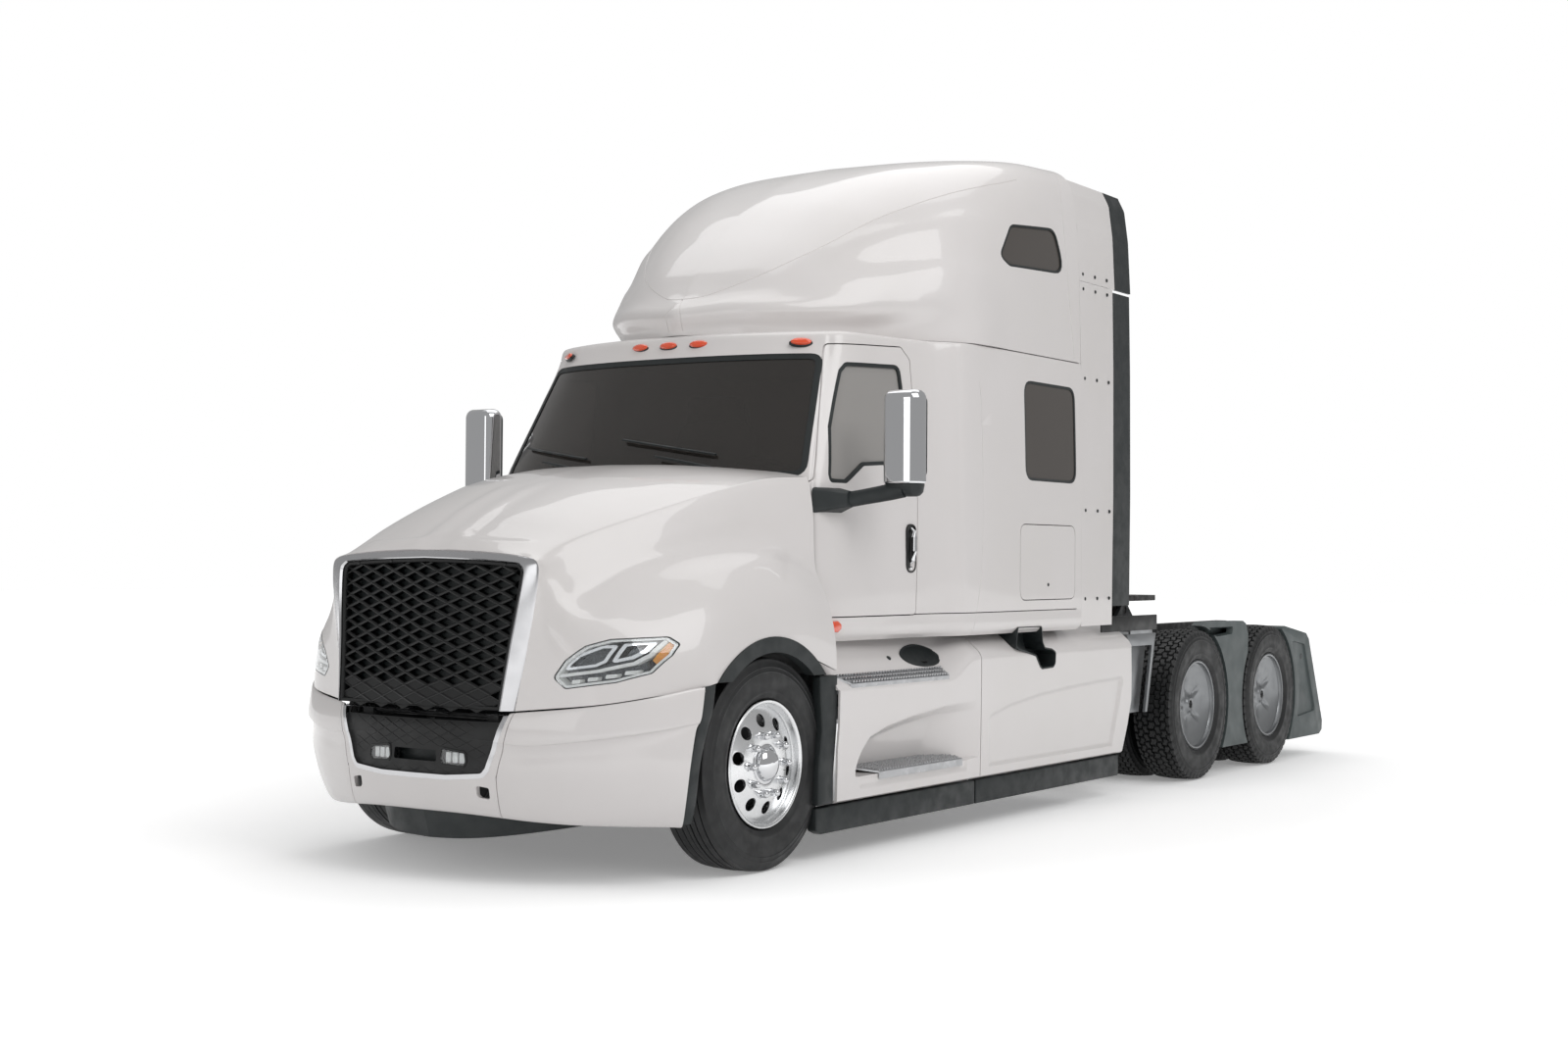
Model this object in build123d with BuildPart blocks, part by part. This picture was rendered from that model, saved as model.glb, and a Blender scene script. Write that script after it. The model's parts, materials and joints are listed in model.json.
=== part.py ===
from build123d import *
import os

# Road tractor with a high-roof sleeper cab, one steered axle and two driven axles.
# Millimetres.  +X is forward, +Y is the tractor's left and +Z is up.  The origin is on the
# ground, at half the length and half the width.

os.makedirs("parts", exist_ok=True)

# ---------------------------------------------------------------- driving dimensions
front_overhang = 1170       # front axle to the bumper's foremost line
wheelbase = 5730            # front axle to the middle of the tandem
tandem_spacing = 1320       # between the two driven axles
rear_overhang = 1140        # last axle to the tail
running_gap = 6             # between a moving panel and its neighbour
seat_gap = 0.3              # between a fixed piece and what carries it

tyre_radius = 507
tyre_width = 285
bead_radius = 286
bead_half_width = 112
flange_height = 18
flange_thickness = 8
rim_wall = 14
front_wheel_y = 1028        # middle of a steered wheel
outer_wheel_y = 1085        # middle of an outer driven wheel
dual_spacing = 335          # between the two tyres of a pair
kingpin_y = 870
kingpin_radius = 25
spindle_radius = 44
bearing_gap = 0.1
axle_tube_radius = 62

rail_web_y = 425            # outer face of a frame rail
rail_flange = 90
rail_web = 8
rail_bottom = 735
rail_height = 270
rail_front = 790            # ahead of the front axle

cab_bottom = 1100
cab_wall = 60
floor_thickness = 60
belt_height = 1900          # bottom of the windscreen
seam_height = 2660          # top of the cab proper, where the roof cap sits
cab_rear = 3240             # behind the front axle
body_half_width = 1220
glass_thickness = 12
roof_wall = 40
roof_height = 3900

hood_half_width = 1200
hood_wall = 30
hood_rear = 504             # behind the front axle, above the door sill
fender_rear = 570           # behind the front axle, at the fender's foot
arch_radius = 600
arch_trim_radius = 528
bumper_wall = 45
fairing_wall = 30
fender_wall = 25
fender_y = (610, 1222)      # inner and outer side of the drive fenders
bumper_bottom = 300
bumper_top = 780            # at the nose
bumper_top_rear = 905       # at the wheel arch
bumper_front_face_y = 465   # seams between the bumper's middle and its corners

door_front = 520
door_rear = 1470
door_bottom = 1187
door_top = 2560
door_inner_y = 1000         # the door's front edge is cut no further in than this
window_radius = 40

fifth_wheel_aft = 5600      # kingpin of the trailer, behind the front axle
fifth_wheel_height = 1225   # top of the coupling plate
trailer_pin_radius = 25.5
coupling_pivot_height = 1120

# ---------------------------------------------------------------- worked-out places
overall_length = front_overhang + wheelbase + tandem_spacing / 2 + rear_overhang
front_axle_x = overall_length / 2 - front_overhang
hub_height = tyre_radius
drive_axles_aft = (wheelbase - tandem_spacing / 2, wheelbase + tandem_spacing / 2)
inner_wheel_y = outer_wheel_y - dual_spacing
rail_top = rail_bottom + rail_height
tail_aft = overall_length - front_overhang
floor_top = cab_bottom + floor_thickness


def aft(distance):
    """x of a place this far behind the front axle, or ahead of it if negative."""
    return front_axle_x - distance


def places(pairs):
    """(behind the front axle, height) pairs as (x, z) pairs."""
    return [(aft(distance), height) for distance, height in pairs]


# ---------------------------------------------------------------- shared operations
def block(aft_range, y_range, z_range, mode=Mode.ADD):
    """A box between two distances behind the front axle, two y and two z."""
    size_x = aft_range[1] - aft_range[0]
    middle_x = aft((aft_range[0] + aft_range[1]) / 2)
    middle = (middle_x, sum(y_range) / 2, sum(z_range) / 2)
    with Locations(middle):
        Box(size_x, y_range[1] - y_range[0], z_range[1] - z_range[0], mode=mode)


def side_prism(points, y_range, radius=0, mode=Mode.ADD):
    """A side-view outline, (x, z) points, run between two y."""
    with BuildSketch(Plane.XZ.offset(-y_range[0])) as outline:
        with BuildLine():
            Polyline(*points, close=True)
        make_face()
        if radius:
            fillet(outline.vertices(), radius)
    extrude(outline.sketch, amount=y_range[0] - y_range[1], mode=mode)


def front_prism(points, aft_range, radius=0, grow=0, mode=Mode.ADD):
    """A front-view outline, (y, z) points, run between two distances behind the axle."""
    with BuildSketch(Plane.YZ.offset(aft(aft_range[1]))) as outline:
        with BuildLine():
            Polyline(*points, close=True)
        make_face()
        if radius:
            fillet(outline.vertices(), radius)
        if grow:
            offset(amount=grow, mode=Mode.REPLACE)
    extrude(outline.sketch, amount=aft_range[1] - aft_range[0], mode=mode)


def mirrored(points):
    """Front-view points of the left half, and then of the right half."""
    return points + [(-y, z) for y, z in reversed(points)]


def rod(start, end, radius, mode=Mode.ADD):
    """A round bar from one point to another."""
    along = Vector(*end) - Vector(*start)
    with BuildSketch(Plane(origin=start, z_dir=along)) as section:
        Circle(radius)
    extrude(section.sketch, amount=along.length, mode=mode)


def save(builder, name):
    builder.part.label = name
    export_step(builder.part, f"parts/{name}.step")


def save_pair(left, name):
    """Write the left piece and its mirror image."""
    save(left, f"{name}_left")
    with BuildPart() as right:
        mirror(left.part, about=Plane.XZ)
    save(right, f"{name}_right")


# ---------------------------------------------------------------- cab volume
cab_rows = (
    # height, nose, corner aft, corner y, pillar aft, pillar y, door y, sleeper y
    (cab_bottom, 480, 502, 1010, 515, 1085, 1125, body_half_width - 5),
    (belt_height, 340, 490, 975, 530, 1060, 1120, body_half_width),
    (seam_height, 750, 850, 880, 915, 965, 1050, body_half_width - 20),
)
sleeper_start = 1890        # where the cab has widened to the sleeper


def cab_volume(inset):
    """The cab's outer form, or the same form drawn in by a wall."""
    with BuildPart() as volume:
        for height, nose, corner, corner_y, pillar, pillar_y, door_y, sleeper_y in cab_rows:
            left = [
                (aft(corner + inset), corner_y - inset),
                (aft(pillar + inset), pillar_y - inset),
                (aft(door_rear + 10), door_y - inset),
                (aft(sleeper_start), sleeper_y - inset),
                (aft(cab_rear - inset), sleeper_y - inset),
            ]
            right = [(x, -y) for x, y in reversed(left)]
            with BuildSketch(Plane.XY.offset(height)):
                with BuildLine():
                    ThreePointArc(right[-1], (aft(nose + inset), 0), left[0])
                    Polyline(*left, *right)
                make_face()
        loft(ruled=True)
    return volume.part


cab_outer = cab_volume(0)
cab_skin = cab_volume(glass_thickness)
cab_inner = cab_volume(cab_wall)

door_outline = places([
    (door_front, door_bottom),
    (door_front, belt_height - 30),
    (850, door_top),
    (door_rear - 30, door_top),
    (door_rear, belt_height),
    (door_rear, door_bottom),
])
door_window = places([
    (975, 2470),
    (1375, 2480),
    (1385, 1975),
    (1000, 1955),
    (900, 1885),
    (690, 1880),
    (680, 2000),
    (740, 2200),
])
sleeper_window = places([(2490, 2510), (3150, 2510), (3170, 1935), (2510, 1935)])
luggage_outline = places([(2450, 1680), (3150, 1680), (3150, 1250), (2450, 1250)])
luggage_gap_outline = places([
    (2450 - running_gap, 1680 + running_gap),
    (3150 + running_gap, 1680 + running_gap),
    (3150 + running_gap, 1250 - running_gap),
    (2450 - running_gap, 1250 - running_gap),
])
windscreen_outline = mirrored([(840, 2535), (930, 1945)])

with BuildPart() as cab_shell:
    add(cab_outer)
    add(cab_inner, mode=Mode.SUBTRACT)
    block((0, cab_rear), (-2000, 2000), (0, floor_top), mode=Mode.SUBTRACT)

# ---------------------------------------------------------------- hinges
hinge_radius = 9
hinge_pin_radius = 5
hinge_half = 42
hinge_middle = 18
door_hinge = (aft(door_front) + running_gap / 2, 1088)
door_hinge_heights = (1235, 1350)
luggage_hinge = (aft(2450) + running_gap / 2, body_half_width + 3)
luggage_hinge_heights = (1350, 1580)


def fixed_hinges(place, heights, side=1):
    """Pins with an end collar above and below, each on a leaf that reaches forward and in."""
    x, y = place
    for height in heights:
        rod((x, side * y, height - hinge_middle), (x, side * y, height + hinge_middle),
            hinge_radius + 2, mode=Mode.SUBTRACT)
        rod((x, side * y, height - hinge_half), (x, side * y, height + hinge_half), hinge_pin_radius)
        for start, end in ((-hinge_half, -hinge_middle), (hinge_middle, hinge_half)):
            rod((x, side * y, height + start), (x, side * y, height + end), hinge_radius)
            with Locations((x + 4, side * (y - 11), height + (start + end) / 2)):
                Box(8, 18, end - start)


def moving_hinges(place, heights):
    """The barrels that turn on the pins, each on a leaf that reaches back and in."""
    x, y = place
    for height in heights:
        low = height - hinge_middle + seat_gap
        high = height + hinge_middle - seat_gap
        for start, end in ((-hinge_half - 1, -hinge_middle), (hinge_middle, hinge_half + 1)):
            rod((x, y, height + start), (x, y, height + end), hinge_radius + 2, mode=Mode.SUBTRACT)
        rod((x, y, low), (x, y, high), hinge_radius)
        with Locations((x - 6, y - 8, height)):
            Box(12, 12, high - low)
        rod((x, y, low), (x, y, high), hinge_pin_radius + bearing_gap, mode=Mode.SUBTRACT)


# ---------------------------------------------------------------- cab panels
with BuildPart() as cab_floor:
    add(cab_outer)
    block((0, cab_rear), (-2000, 2000), (cab_bottom, floor_top), mode=Mode.INTERSECT)
save(cab_floor, "cab_floor")

roof_panel_bottom = seam_height - cab_wall
door_gap_outline = places([
    (door_front - running_gap, door_bottom - running_gap),
    (door_front - running_gap, belt_height - 30),
    (850 - running_gap, door_top + running_gap),
    (door_rear + running_gap, door_top + running_gap),
    (door_rear + running_gap, door_bottom - running_gap),
])
side_ranges = ((door_inner_y - 130, 1300), (130 - door_inner_y, -1300))
with BuildPart() as cab_walls:
    add(cab_shell.part)
    for near_y, far_y in side_ranges:
        side_prism(door_gap_outline, (near_y, far_y), mode=Mode.SUBTRACT)
        side_prism(sleeper_window, (near_y, far_y), radius=60, mode=Mode.SUBTRACT)
        side_prism(luggage_gap_outline, (near_y, far_y), radius=44, mode=Mode.SUBTRACT)
    front_prism(windscreen_outline, (0, 1000), radius=60, mode=Mode.SUBTRACT)

roof_start = door_rear + running_gap
roof_rear = sleeper_start + 60
with BuildPart() as cab_cowl:
    add(cab_walls.part)
    block((0, roof_start), (-2000, 2000), (floor_top, roof_panel_bottom), mode=Mode.INTERSECT)
    for side in (1, -1):
        fixed_hinges(door_hinge, door_hinge_heights, side)
save(cab_cowl, "cab_cowl")

with BuildPart() as cab_roof:
    add(cab_outer)
    block((0, roof_rear), (-2000, 2000), (roof_panel_bottom, seam_height), mode=Mode.INTERSECT)
    block((1300, roof_rear), (-600, 600), (roof_panel_bottom, seam_height), mode=Mode.SUBTRACT)
save(cab_roof, "cab_roof")

with BuildPart() as sleeper_side_left:
    add(cab_walls.part)
    block((roof_start, cab_rear - cab_wall), (0, 2000), (floor_top, seam_height),
          mode=Mode.INTERSECT)
    block((0, roof_rear), (0, 2000), (roof_panel_bottom, seam_height), mode=Mode.SUBTRACT)
    fixed_hinges(luggage_hinge, luggage_hinge_heights)
save_pair(sleeper_side_left, "sleeper_side")

with BuildPart() as sleeper_back:
    add(cab_shell.part)
    block((cab_rear - cab_wall, cab_rear), (-2000, 2000), (floor_top, seam_height),
          mode=Mode.INTERSECT)
save(sleeper_back, "sleeper_back")

# ---------------------------------------------------------------- doors and glass
mirror_head_y = (1302, 1523)
mirror_head_z = (1870, 2325)
mirror_head_aft = (790, 940)
mirror_arm_height = 1750
with BuildPart() as door_left:
    add(cab_shell.part)
    side_prism(door_outline, (door_inner_y - 130, 1300), mode=Mode.INTERSECT)
    side_prism(door_window, (door_inner_y - 130, 1300), radius=window_radius, mode=Mode.SUBTRACT)
    block((door_front - 1, door_front + 170), (0, door_inner_y), (door_bottom, belt_height - 40),
          mode=Mode.SUBTRACT)
    moving_hinges(door_hinge, door_hinge_heights)
save_pair(door_left, "door")

with BuildPart() as door_pane:
    side_prism(door_window, (door_inner_y - 130, 1300), radius=window_radius)

with BuildPart() as door_glass_left:
    add(door_pane.part & cab_outer)
    add(cab_skin, mode=Mode.SUBTRACT)
save_pair(door_glass_left, "door_glass")

with BuildPart() as luggage_door_left:
    add(cab_shell.part)
    side_prism(luggage_outline, (door_inner_y, 1300), radius=38, mode=Mode.INTERSECT)
    moving_hinges(luggage_hinge, luggage_hinge_heights)
save_pair(luggage_door_left, "luggage_door")

with BuildPart() as mirror_left:
    block(mirror_head_aft, mirror_head_y, mirror_head_z)
    fillet(mirror_left.edges().filter_by(Axis.Z), 45)
    with BuildSketch(Plane.XY.offset(mirror_head_z[0])):
        with Locations((aft(sum(mirror_head_aft) / 2), sum(mirror_head_y) / 2)):
            Rectangle(mirror_head_aft[1] - mirror_head_aft[0], mirror_head_y[1] - mirror_head_y[0])
    with BuildSketch(Plane.XY.offset(mirror_arm_height)):
        with Locations((aft(sum(mirror_head_aft) / 2), sum(mirror_head_y) / 2 + 20)):
            Rectangle(90, 120)
    loft(ruled=True)
    arm_end = (aft(sum(mirror_head_aft) / 2), sum(mirror_head_y) / 2, mirror_arm_height + 40)
    rod((aft(640), 1130, mirror_arm_height), arm_end, 38)
    rod((aft(640), 1000, mirror_arm_height), (aft(640), 1150, mirror_arm_height), 60)
    add(Pos(0, seat_gap, 0) * cab_outer, mode=Mode.SUBTRACT)
save_pair(mirror_left, "mirror")

# ---------------------------------------------------------------- roof cap
roof_rows = (
    # height, nose, cheek aft, cheek y, side aft, side y
    (seam_height, 790, 1100, 620, 1840, 1205),
    (2860, 850, 1090, 660, 1760, 1205),
    (3200, 1110, 1370, 660, 1960, 1200),
    (3560, 1470, 1720, 640, 2250, 1160),
    (3760, 1950, 2220, 620, 2620, 1080),
    (roof_height, 2700, 2800, 520, 2950, 880),
)


def roof_volume(inset):
    """The high roof's outer form, or the same form drawn in by its wall."""
    with BuildPart() as volume:
        for height, nose, cheek, cheek_y, side, side_y in roof_rows:
            left = [
                (aft(cheek + inset), cheek_y - inset / 2),
                (aft(side + inset), side_y - inset),
                (aft(cab_rear - inset), side_y - inset),
            ]
            right = [(x, -y) for x, y in reversed(left)]
            level = height if height == seam_height else height - inset
            with BuildSketch(Plane.XY.offset(level)):
                with BuildLine():
                    ThreePointArc(right[-1], (aft(nose + inset), 0), left[0])
                    Polyline(*left, *right)
                make_face()
        loft(ruled=True)
    return volume.part


upper_window = places([(2445, 3405), (2950, 3445), (3060, 3180), (2375, 3150), (2280, 3200)])
with BuildPart() as roof_cap:
    add(roof_volume(0))
    add(roof_volume(roof_wall), mode=Mode.SUBTRACT)
    for near_y, far_y in side_ranges:
        side_prism(upper_window, (near_y, far_y), radius=45, mode=Mode.SUBTRACT)
save(roof_cap, "roof_cap")

with BuildPart() as windscreen_pane:
    front_prism(windscreen_outline, (0, 1000), radius=60)

with BuildPart() as sleeper_pane:
    side_prism(sleeper_window, side_ranges[0], radius=60)

with BuildPart() as high_pane:
    side_prism(upper_window, side_ranges[0], radius=45)

with BuildPart() as cab_glass:
    add((sleeper_pane.part & cab_outer) - cab_skin)
    add((high_pane.part & roof_volume(0)) - roof_volume(glass_thickness))
    mirror(about=Plane.XZ)
    add((windscreen_pane.part & cab_outer) - cab_skin)
save(cab_glass, "cab_glass")

# ---------------------------------------------------------------- side extenders
extender_wall = 25
extender_split = 3170
extender_rear = (3760, 3690)        # at the foot and at the top
edge_rear = (4010, 3950)
extender_foot = 1195
extender_top = 3795


def extender_outline(front, foot_rear, top_rear):
    return places([
        (front, extender_foot),
        (front, extender_top),
        (top_rear, extender_top),
        (foot_rear, extender_foot),
    ])


with BuildPart() as side_extenders:
    for side in (1, -1):
        span = (side * (body_half_width - extender_wall - 20), side * (body_half_width - 20))
        side_prism(extender_outline(cab_rear, *extender_rear), span)
    block((cab_rear, 4100), (-1300, 1300), (extender_split - 2, extender_split + 2),
          mode=Mode.SUBTRACT)
save(side_extenders, "side_extenders")

with BuildPart() as extender_edges:
    for side in (1, -1):
        span = (side * (body_half_width - extender_wall - 20), side * (body_half_width - 20))
        side_prism(extender_outline(cab_rear, *edge_rear), span)
        side_prism(extender_outline(cab_rear, *extender_rear), span, mode=Mode.SUBTRACT)
save(extender_edges, "extender_edges")

# ---------------------------------------------------------------- hood
hood_rows = (
    # behind the axle, crown, shoulder y, shoulder z, waist y, waist z, fender y, fender z, side z
    (-1200, 1400, 540, 1385, 720, 1230, 960, 1160, 1060),
    (-1060, 1490, 570, 1475, 740, 1300, 980, 1220, 1110),
    (-580, 1775, 600, 1740, 800, 1500, 1030, 1405, 1270),
    (0, 1930, 640, 1905, 860, 1640, 1060, 1520, 1370),
    (560, 1960, 900, 1890, 1045, 1800, 1085, 1400, 1240),
)
hood_bottom = 700


def hood_volume(inset):
    """The hood's top form: a raised bonnet between two fender crowns."""
    with BuildPart() as volume:
        for station, crown, shoulder_y, shoulder_z, waist_y, waist_z, fender_y, fender_z, side_z \
                in hood_rows:
            left = [
                (shoulder_y - inset, shoulder_z - inset),
                (waist_y - inset, waist_z - inset),
                (fender_y - inset, fender_z - inset),
                (hood_half_width - inset, side_z - inset),
                (hood_half_width - inset, hood_bottom),
            ]
            right = [(-y, z) for y, z in reversed(left)]
            with BuildSketch(Plane.YZ.offset(aft(station))):
                with BuildLine():
                    ThreePointArc(right[-1], (0, crown - inset), left[0])
                    Polyline(*left, *right)
                make_face()
        loft(ruled=True)
    return volume.part


def nose_plan(inset):
    """Plan outline of the hood: a shallow nose and one large arc round each corner."""
    with BuildSketch(Plane.XY.offset(hood_bottom)) as plan:
        with BuildLine():
            ThreePointArc((aft(inset - 1065), -600 + inset / 2), (aft(inset - 1125), 0),
                          (aft(inset - 1065), 600 - inset / 2))
            for side in (1, -1):
                ThreePointArc((aft(inset - 1065), side * (600 - inset / 2)),
                              (aft(inset - 890), side * (965 - inset)),
                              (aft(-420), side * (hood_half_width - inset)))
                Line((aft(-420), side * (hood_half_width - inset)),
                     (aft(fender_rear + 10), side * (hood_half_width - inset)))
            Line((aft(fender_rear + 10), hood_half_width - inset),
                 (aft(fender_rear + 10), inset - hood_half_width))
        make_face()
    return plan.sketch


hood_axis = (aft(-1125), 778)       # x and height of the hood's hinge
hood_pin_radius = 4
hood_barrel_radius = 7
hood_barrel_y = (62, 98)
hood_eye_y = (hood_barrel_y[1] + seat_gap, 112)
seam_gap = running_gap + 2
hood_keep = places([
    (-1300, bumper_top + seam_gap),
    (-950, bumper_top + seam_gap),
    (-546, bumper_top_rear + seam_gap),
    (0, bumper_top_rear + seam_gap),
    (fender_rear, bumper_top_rear + seam_gap),
    (door_front - 12, door_bottom + 10),
    (hood_rear, door_bottom + 60),
    (hood_rear, 2100),
    (-1300, 2100),
])
grille_opening = mirrored([(560, 1440), (500, 800)])
lamp_outline = [
    (690, 945), (715, 912), (820, 915), (980, 950), (1070, 990), (1150, 1085),
    (1125, 1118), (1065, 1118), (900, 1092), (820, 1062), (750, 1012),
]
lamp_outlines = (lamp_outline, [(-y, z) for y, z in lamp_outline])
lamp_depth = 70
lamp_reach = (-1200, -400)
with BuildPart() as hood:
    add(hood_volume(0))
    extrude(nose_plan(0), amount=1500, mode=Mode.INTERSECT)
    add(hood_volume(hood_wall) & extrude(nose_plan(hood_wall), amount=1500, mode=Mode.PRIVATE),
        mode=Mode.SUBTRACT)
    side_prism(hood_keep, (-1300, 1300), mode=Mode.INTERSECT)
    front_prism(grille_opening, (-1300, -950), radius=40, mode=Mode.SUBTRACT)
    for outline in lamp_outlines:
        front_prism(outline, lamp_reach, radius=12, grow=0.5, mode=Mode.SUBTRACT)
    rod((front_axle_x, -1300, hub_height), (front_axle_x, 1300, hub_height), arch_radius + 3,
        mode=Mode.SUBTRACT)
    add(cab_outer.moved(Location((running_gap + 2, 0, 0))), mode=Mode.SUBTRACT)
    add(cab_outer, mode=Mode.SUBTRACT)
    for side in (1, -1):
        ends = [(hood_axis[0], side * y, hood_axis[1]) for y in hood_barrel_y]
        rod(*ends, hood_barrel_radius)
        block((-1125 - hood_barrel_radius, -1110), sorted(side * y for y in hood_barrel_y),
              (hood_axis[1], bumper_top + seam_gap + 2))
        rod((ends[0][0], 0, hood_axis[1]), ends[1], hood_pin_radius + bearing_gap,
            mode=Mode.SUBTRACT)
save(hood, "hood")

# ---------------------------------------------------------------- nose pieces on the hood
nose_core = extrude(nose_plan(lamp_depth), amount=1500, mode=Mode.PRIVATE)
nose_shape = extrude(nose_plan(0), amount=1500, mode=Mode.PRIVATE) & hood_volume(0)
with BuildPart() as headlamps:
    for outline in lamp_outlines:
        front_prism(outline, lamp_reach, radius=12)
    add(nose_shape, mode=Mode.INTERSECT)
    add(nose_core, mode=Mode.SUBTRACT)
save(headlamps, "headlamps")

surround_inner = mirrored([(532, 1412), (476, 826)])
with BuildPart() as grille_surround:
    front_prism(grille_opening, (-1125, -1035), radius=40, grow=-0.5)
    front_prism(surround_inner, (-1200, -900), radius=30, mode=Mode.SUBTRACT)
    add(extrude(nose_plan(-6), amount=1500, mode=Mode.PRIVATE), mode=Mode.INTERSECT)
save(grille_surround, "grille_surround")

mesh_rows = 14
mesh_pitch_y = 104
mesh_bottom = 850
mesh_top = 1395
mesh_diamond = (44, 15)
mesh_pitch_z = (mesh_top - mesh_bottom) / mesh_rows
mesh_places = []
for row in range(mesh_rows):
    row_height = mesh_bottom + mesh_pitch_z * (row + 0.5)
    row_reach = 425 + 55 * row / mesh_rows
    first = 0.5 if row % 2 else 0
    for column in range(-5, 6):
        if abs(column + first) * mesh_pitch_y < row_reach:
            mesh_places.append(((column + first) * mesh_pitch_y, row_height))
half_width, half_height = mesh_diamond
diamond = [(half_width, 0), (0, half_height), (-half_width, 0), (0, -half_height)]
with BuildPart() as grille:
    front_prism(surround_inner, (-1072, -1052), radius=30, grow=-0.5)
    with BuildSketch(Plane.YZ.offset(aft(-1052))) as openings:
        with Locations(*mesh_places):
            Polygon(*diamond)
    extrude(openings.sketch, amount=20, mode=Mode.SUBTRACT)
save(grille, "grille")

arch_trim_y = 1152
liner_inner_y = 600
arch_foot = bumper_top_rear + seam_gap


def arch_band(outer_radius, inner_radius, y_range, mode=Mode.ADD):
    """A band round the front wheel, open below the fender's foot."""
    with BuildSketch(Plane.XZ.offset(-y_range[0])) as band:
        with Locations((front_axle_x, hub_height)):
            Circle(outer_radius)
            Circle(inner_radius, mode=Mode.SUBTRACT)
        with Locations((front_axle_x, arch_foot - 1000)):
            Rectangle(2000, 2000, mode=Mode.SUBTRACT)
    extrude(band.sketch, amount=y_range[0] - y_range[1], mode=mode)


with BuildPart() as arch_trims:
    for side in (1, -1):
        face_y = side * arch_trim_y
        arch_band(arch_radius + 2.5, arch_trim_radius, (face_y, side * (hood_half_width + 3)))
        arch_band(arch_radius + 2.5, arch_radius - 4, (side * liner_inner_y, face_y))
save(arch_trims, "arch_trims")

# ---------------------------------------------------------------- bumper and lower trims
def bumper_plan(inset, height):
    """Plan outline of the bumper: bowed middle, large corner arcs, straight ends."""
    nose = inset - front_overhang
    shoulder = inset - 1075
    with BuildSketch(Plane.XY.offset(height)) as plan:
        with BuildLine():
            ThreePointArc((aft(shoulder), -560 + inset / 2), (aft(nose), 0),
                          (aft(shoulder), 560 - inset / 2))
            for side in (1, -1):
                ThreePointArc((aft(shoulder), side * (560 - inset / 2)),
                              (aft(inset - 915), side * (975 - inset)),
                              (aft(-560), side * (hood_half_width - inset)))
                Line((aft(-560), side * (hood_half_width - inset)),
                     (aft(-400), side * (hood_half_width - inset)))
            Line((aft(-400), hood_half_width - inset), (aft(-400), inset - hood_half_width))
        make_face()
    return plan.sketch


bumper_side = places([
    (-1300, bumper_bottom),
    (-1300, bumper_top),
    (-950, bumper_top),
    (-546, bumper_top_rear),
    (-740, 270),
    (-790, bumper_bottom),
])
intake_outline = mirrored([(455, 735), (395, 500)])
slot_half_width = 505
slot_bottom = 735
with BuildPart() as front_bumper:
    extrude(bumper_plan(0, bumper_bottom - 30), amount=650)
    extrude(bumper_plan(bumper_wall, bumper_bottom - 30), amount=650, mode=Mode.SUBTRACT)
    side_prism(bumper_side, (-1300, 1300), mode=Mode.INTERSECT)
    front_prism(intake_outline, (-1300, -900), radius=20, mode=Mode.SUBTRACT)
    block((-1300, -900), (-slot_half_width, slot_half_width), (slot_bottom - 25, bumper_top + 20),
          mode=Mode.SUBTRACT)
    for side in (1, -1):
        seam = side * bumper_front_face_y
        block((-1300, -900), (seam - 2, seam + 2), (0, 1000), mode=Mode.SUBTRACT)
        block((-1300, -900), (side * 393 - 28, side * 393 + 28), (395, 440), mode=Mode.SUBTRACT)
save(front_bumper, "front_bumper")

fairing_foot = 262
skirt_bottom = 130
fairing_front = 485
fairing_split = 1995
fairing_tail = 3860
skirt_wall = 20
dam_inset = 75
with BuildPart() as lower_trims:
    # slatted insert in the bumper's intake
    front_prism(intake_outline, (-1120, -1085), radius=20, grow=-0.5)
    for height in range(560, 735, 35):
        block((-1200, -1105), (-380, 380), (height, height + 14), mode=Mode.SUBTRACT)
    # air dam under the bumper
    extrude(bumper_plan(25, bumper_bottom - 110), amount=110 - seat_gap)
    extrude(bumper_plan(25 + 20, bumper_bottom - 120), amount=130, mode=Mode.SUBTRACT)
    block((-830, -300), (-1300, 1300), (150, bumper_bottom), mode=Mode.SUBTRACT)
    # skirts under the side fairings
    skirt_outline = places([
        (470, fairing_foot - seat_gap),
        (fairing_tail, fairing_foot - seat_gap),
        (fairing_tail, skirt_bottom),
        (560, skirt_bottom),
    ])
    # strips behind the bumper's ends
    strip_outline = places([
        (-546 + 0.5, bumper_top_rear - 2),
        (-738.5 + 0.5, 275),
        (-690, 275),
        (-600, 700),
        (-520, bumper_top_rear - 4),
    ])
    for side in (1, -1):
        outer = side * (body_half_width - 12)
        side_prism(skirt_outline, (outer - side * skirt_wall, outer))
        side_prism(strip_outline, (side * 1155, side * (hood_half_width - 3)))
save(lower_trims, "lower_trims")

# ---------------------------------------------------------------- wheels and tyres
def wheel_ring(axle_aft, centre_y, profile):
    """Turn a (radius, outward y) profile about an axle, outward being away from centre_y = 0."""
    outward = 1 if centre_y > 0 else -1
    base = (aft(axle_aft), centre_y, hub_height)
    with BuildSketch(Plane.XY.offset(hub_height)) as section:
        with BuildLine():
            Polyline(*[(base[0] + radius, centre_y + outward * y) for radius, y in profile],
                     close=True)
        make_face()
    revolve(section.sketch, axis=Axis(base, (0, 1, 0)))


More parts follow.
